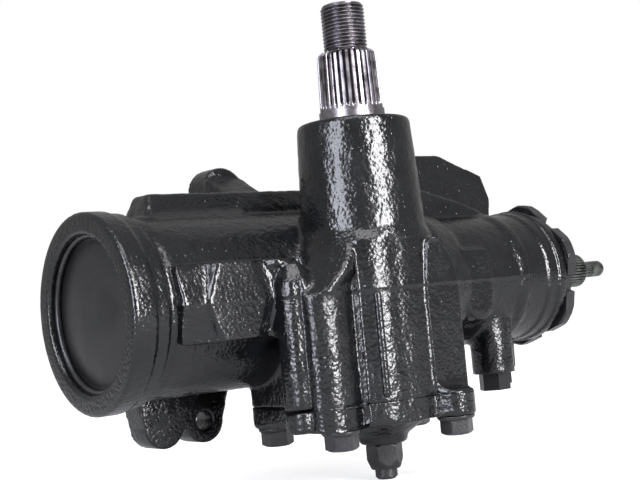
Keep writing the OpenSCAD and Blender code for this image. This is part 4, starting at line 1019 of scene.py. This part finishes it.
serration_profile = refined([(0, -0.4), (15.6, -0.4), (SERRATION_R, 0.4), (15.7, 6.0), (15.1, 28.4),
                             (13.6, SERRATION_TOP), (0, SERRATION_TOP)], 0.7)
thread_profile = refined([(0, 29.6), (10.4, 29.6), (10.2, 30.6), (THREAD_R, 32.0), (THREAD_R, 52.9),
                          (9.9, THREAD_TOP), (0, THREAD_TOP)], 0.15)
around = SERRATIONS * POINTS_PER_TOOTH
teeth = turned(serration_profile, around, serrations)
# Darker colour in the valleys, for dirt and painted shade, by depth under the smooth profile.
teeth_dirt_and_shade = SERRATION_DIRT_AND_SHADE * depth_share(teeth, turned(serration_profile, around), SERRATION_DEPTH)
grid_piece("arm_serrations", [teeth], SHAFT_STEEL, "sector", sharp_deg=50, groove=teeth_dirt_and_shade)
helix = turned(thread_profile, THREAD_AROUND, thread)
helix_dirt_and_shade = THREAD_DIRT_AND_SHADE * depth_share(helix, turned(thread_profile, THREAD_AROUND), THREAD_DEPTH)
grid_piece("arm_thread", [helix], SHAFT_STEEL, "sector", sharp_deg=70, groove=helix_dirt_and_shade)

# %% [markdown]
# ## Studio
# The photograph shows a white surround and, on every upright round form, two tall bright bands about
# twenty degrees either side of the middle, and small glints on what leans upwards. So two tall soft boxes
# stand some forty degrees to the left and right of the camera, with a weak third above, in a white room
# with a pale floor. What is mirrored in the gloss sees the room dimmer than the camera does, which keeps
# the paint black.

# %% Floor and lights
FLOOR_GAP = 0.0003
FLOOR_Z = cad_box[0][2] - FLOOR_GAP
FLOOR_HALF_W = 8
FLOOR_TONE = (0.42, 0.42, 0.43, 1.0)
WHITE = (1.0, 1.0, 1.0, 1.0)
FLOOR_GLOW = 0.68
ROOM_IN_GLOSS = 0.42
floor_mesh = bpy.data.meshes.new("studio_floor")
corners = [(x * FLOOR_HALF_W, y * FLOOR_HALF_W, FLOOR_Z) for x, y in ((-1, -1), (1, -1), (1, 1), (-1, 1))]
floor_mesh.from_pydata(corners, [], [(0, 1, 2, 3)])
floor_finish, floor_shader = start_finish("pale_floor", Base_Color=FLOOR_TONE, Roughness=0.9,
                                          Specular_IOR_Level=0.0, Emission_Color=WHITE)
floor_tree = floor_finish.node_tree
floor_seen = add(floor_tree, "ShaderNodeLightPath").outputs["Is Camera Ray"]
floor_glow = math_node(floor_tree, "MULTIPLY", floor_seen, FLOOR_GLOW)
floor_tree.links.new(floor_glow, floor_shader.inputs["Emission Strength"])
floor_mesh.materials.append(floor_finish)
floor = bpy.data.objects.new("studio_floor", floor_mesh)
scene.collection.objects.link(floor)


def soft_box(name, azimuth_deg, distance, height, width, tall, power, tint):
    """An area light at an azimuth, a level distance and a height from the part, facing it."""
    data = bpy.data.lights.new(name, "AREA")
    data.shape = "RECTANGLE"
    data.size = width
    data.size_y = tall
    data.energy = power
    data.color = tint
    light = bpy.data.objects.new(name, data)
    angle = np.radians(azimuth_deg)
    place = np.array([distance * np.cos(angle), distance * np.sin(angle), height])
    back = place / np.linalg.norm(place)
    right = np.cross((0, 0, 1), back)
    right /= np.linalg.norm(right)
    up = np.cross(back, right)
    facing = Matrix(np.array([right, up, back]).T.tolist())
    light.matrix_world = Matrix.Translation(place) @ facing.to_4x4()
    scene.collection.objects.link(light)


soft_box("left_soft_box", 192.0, 1.3, 0.10, 0.55, 1.8, 40.0, (0.86, 0.90, 1.0))
soft_box("top_soft_box", 236.0, 0.55, 1.15, 0.9, 0.6, 9.0, (0.98, 0.98, 1.0))
soft_box("right_soft_box", 274.0, 1.3, 0.10, 0.45, 1.8, 75.0, (0.98, 0.98, 1.0))

world = bpy.data.worlds.new("white_room")
world.use_nodes = True
scene.world = world
room_tree = world.node_tree
room = room_tree.nodes["Background"]
ray = add(room_tree, "ShaderNodeLightPath")
bright = math_node(room_tree, "MAXIMUM", ray.outputs["Is Camera Ray"], ray.outputs["Is Diffuse Ray"])
strength = math_node(room_tree, "MAXIMUM", bright, ROOM_IN_GLOSS)
room_tree.links.new(strength, room.inputs["Strength"])
room.inputs["Color"].default_value = WHITE
scene.view_settings.view_transform = "Standard"
print("studio: floor at", round(FLOOR_Z, 4))
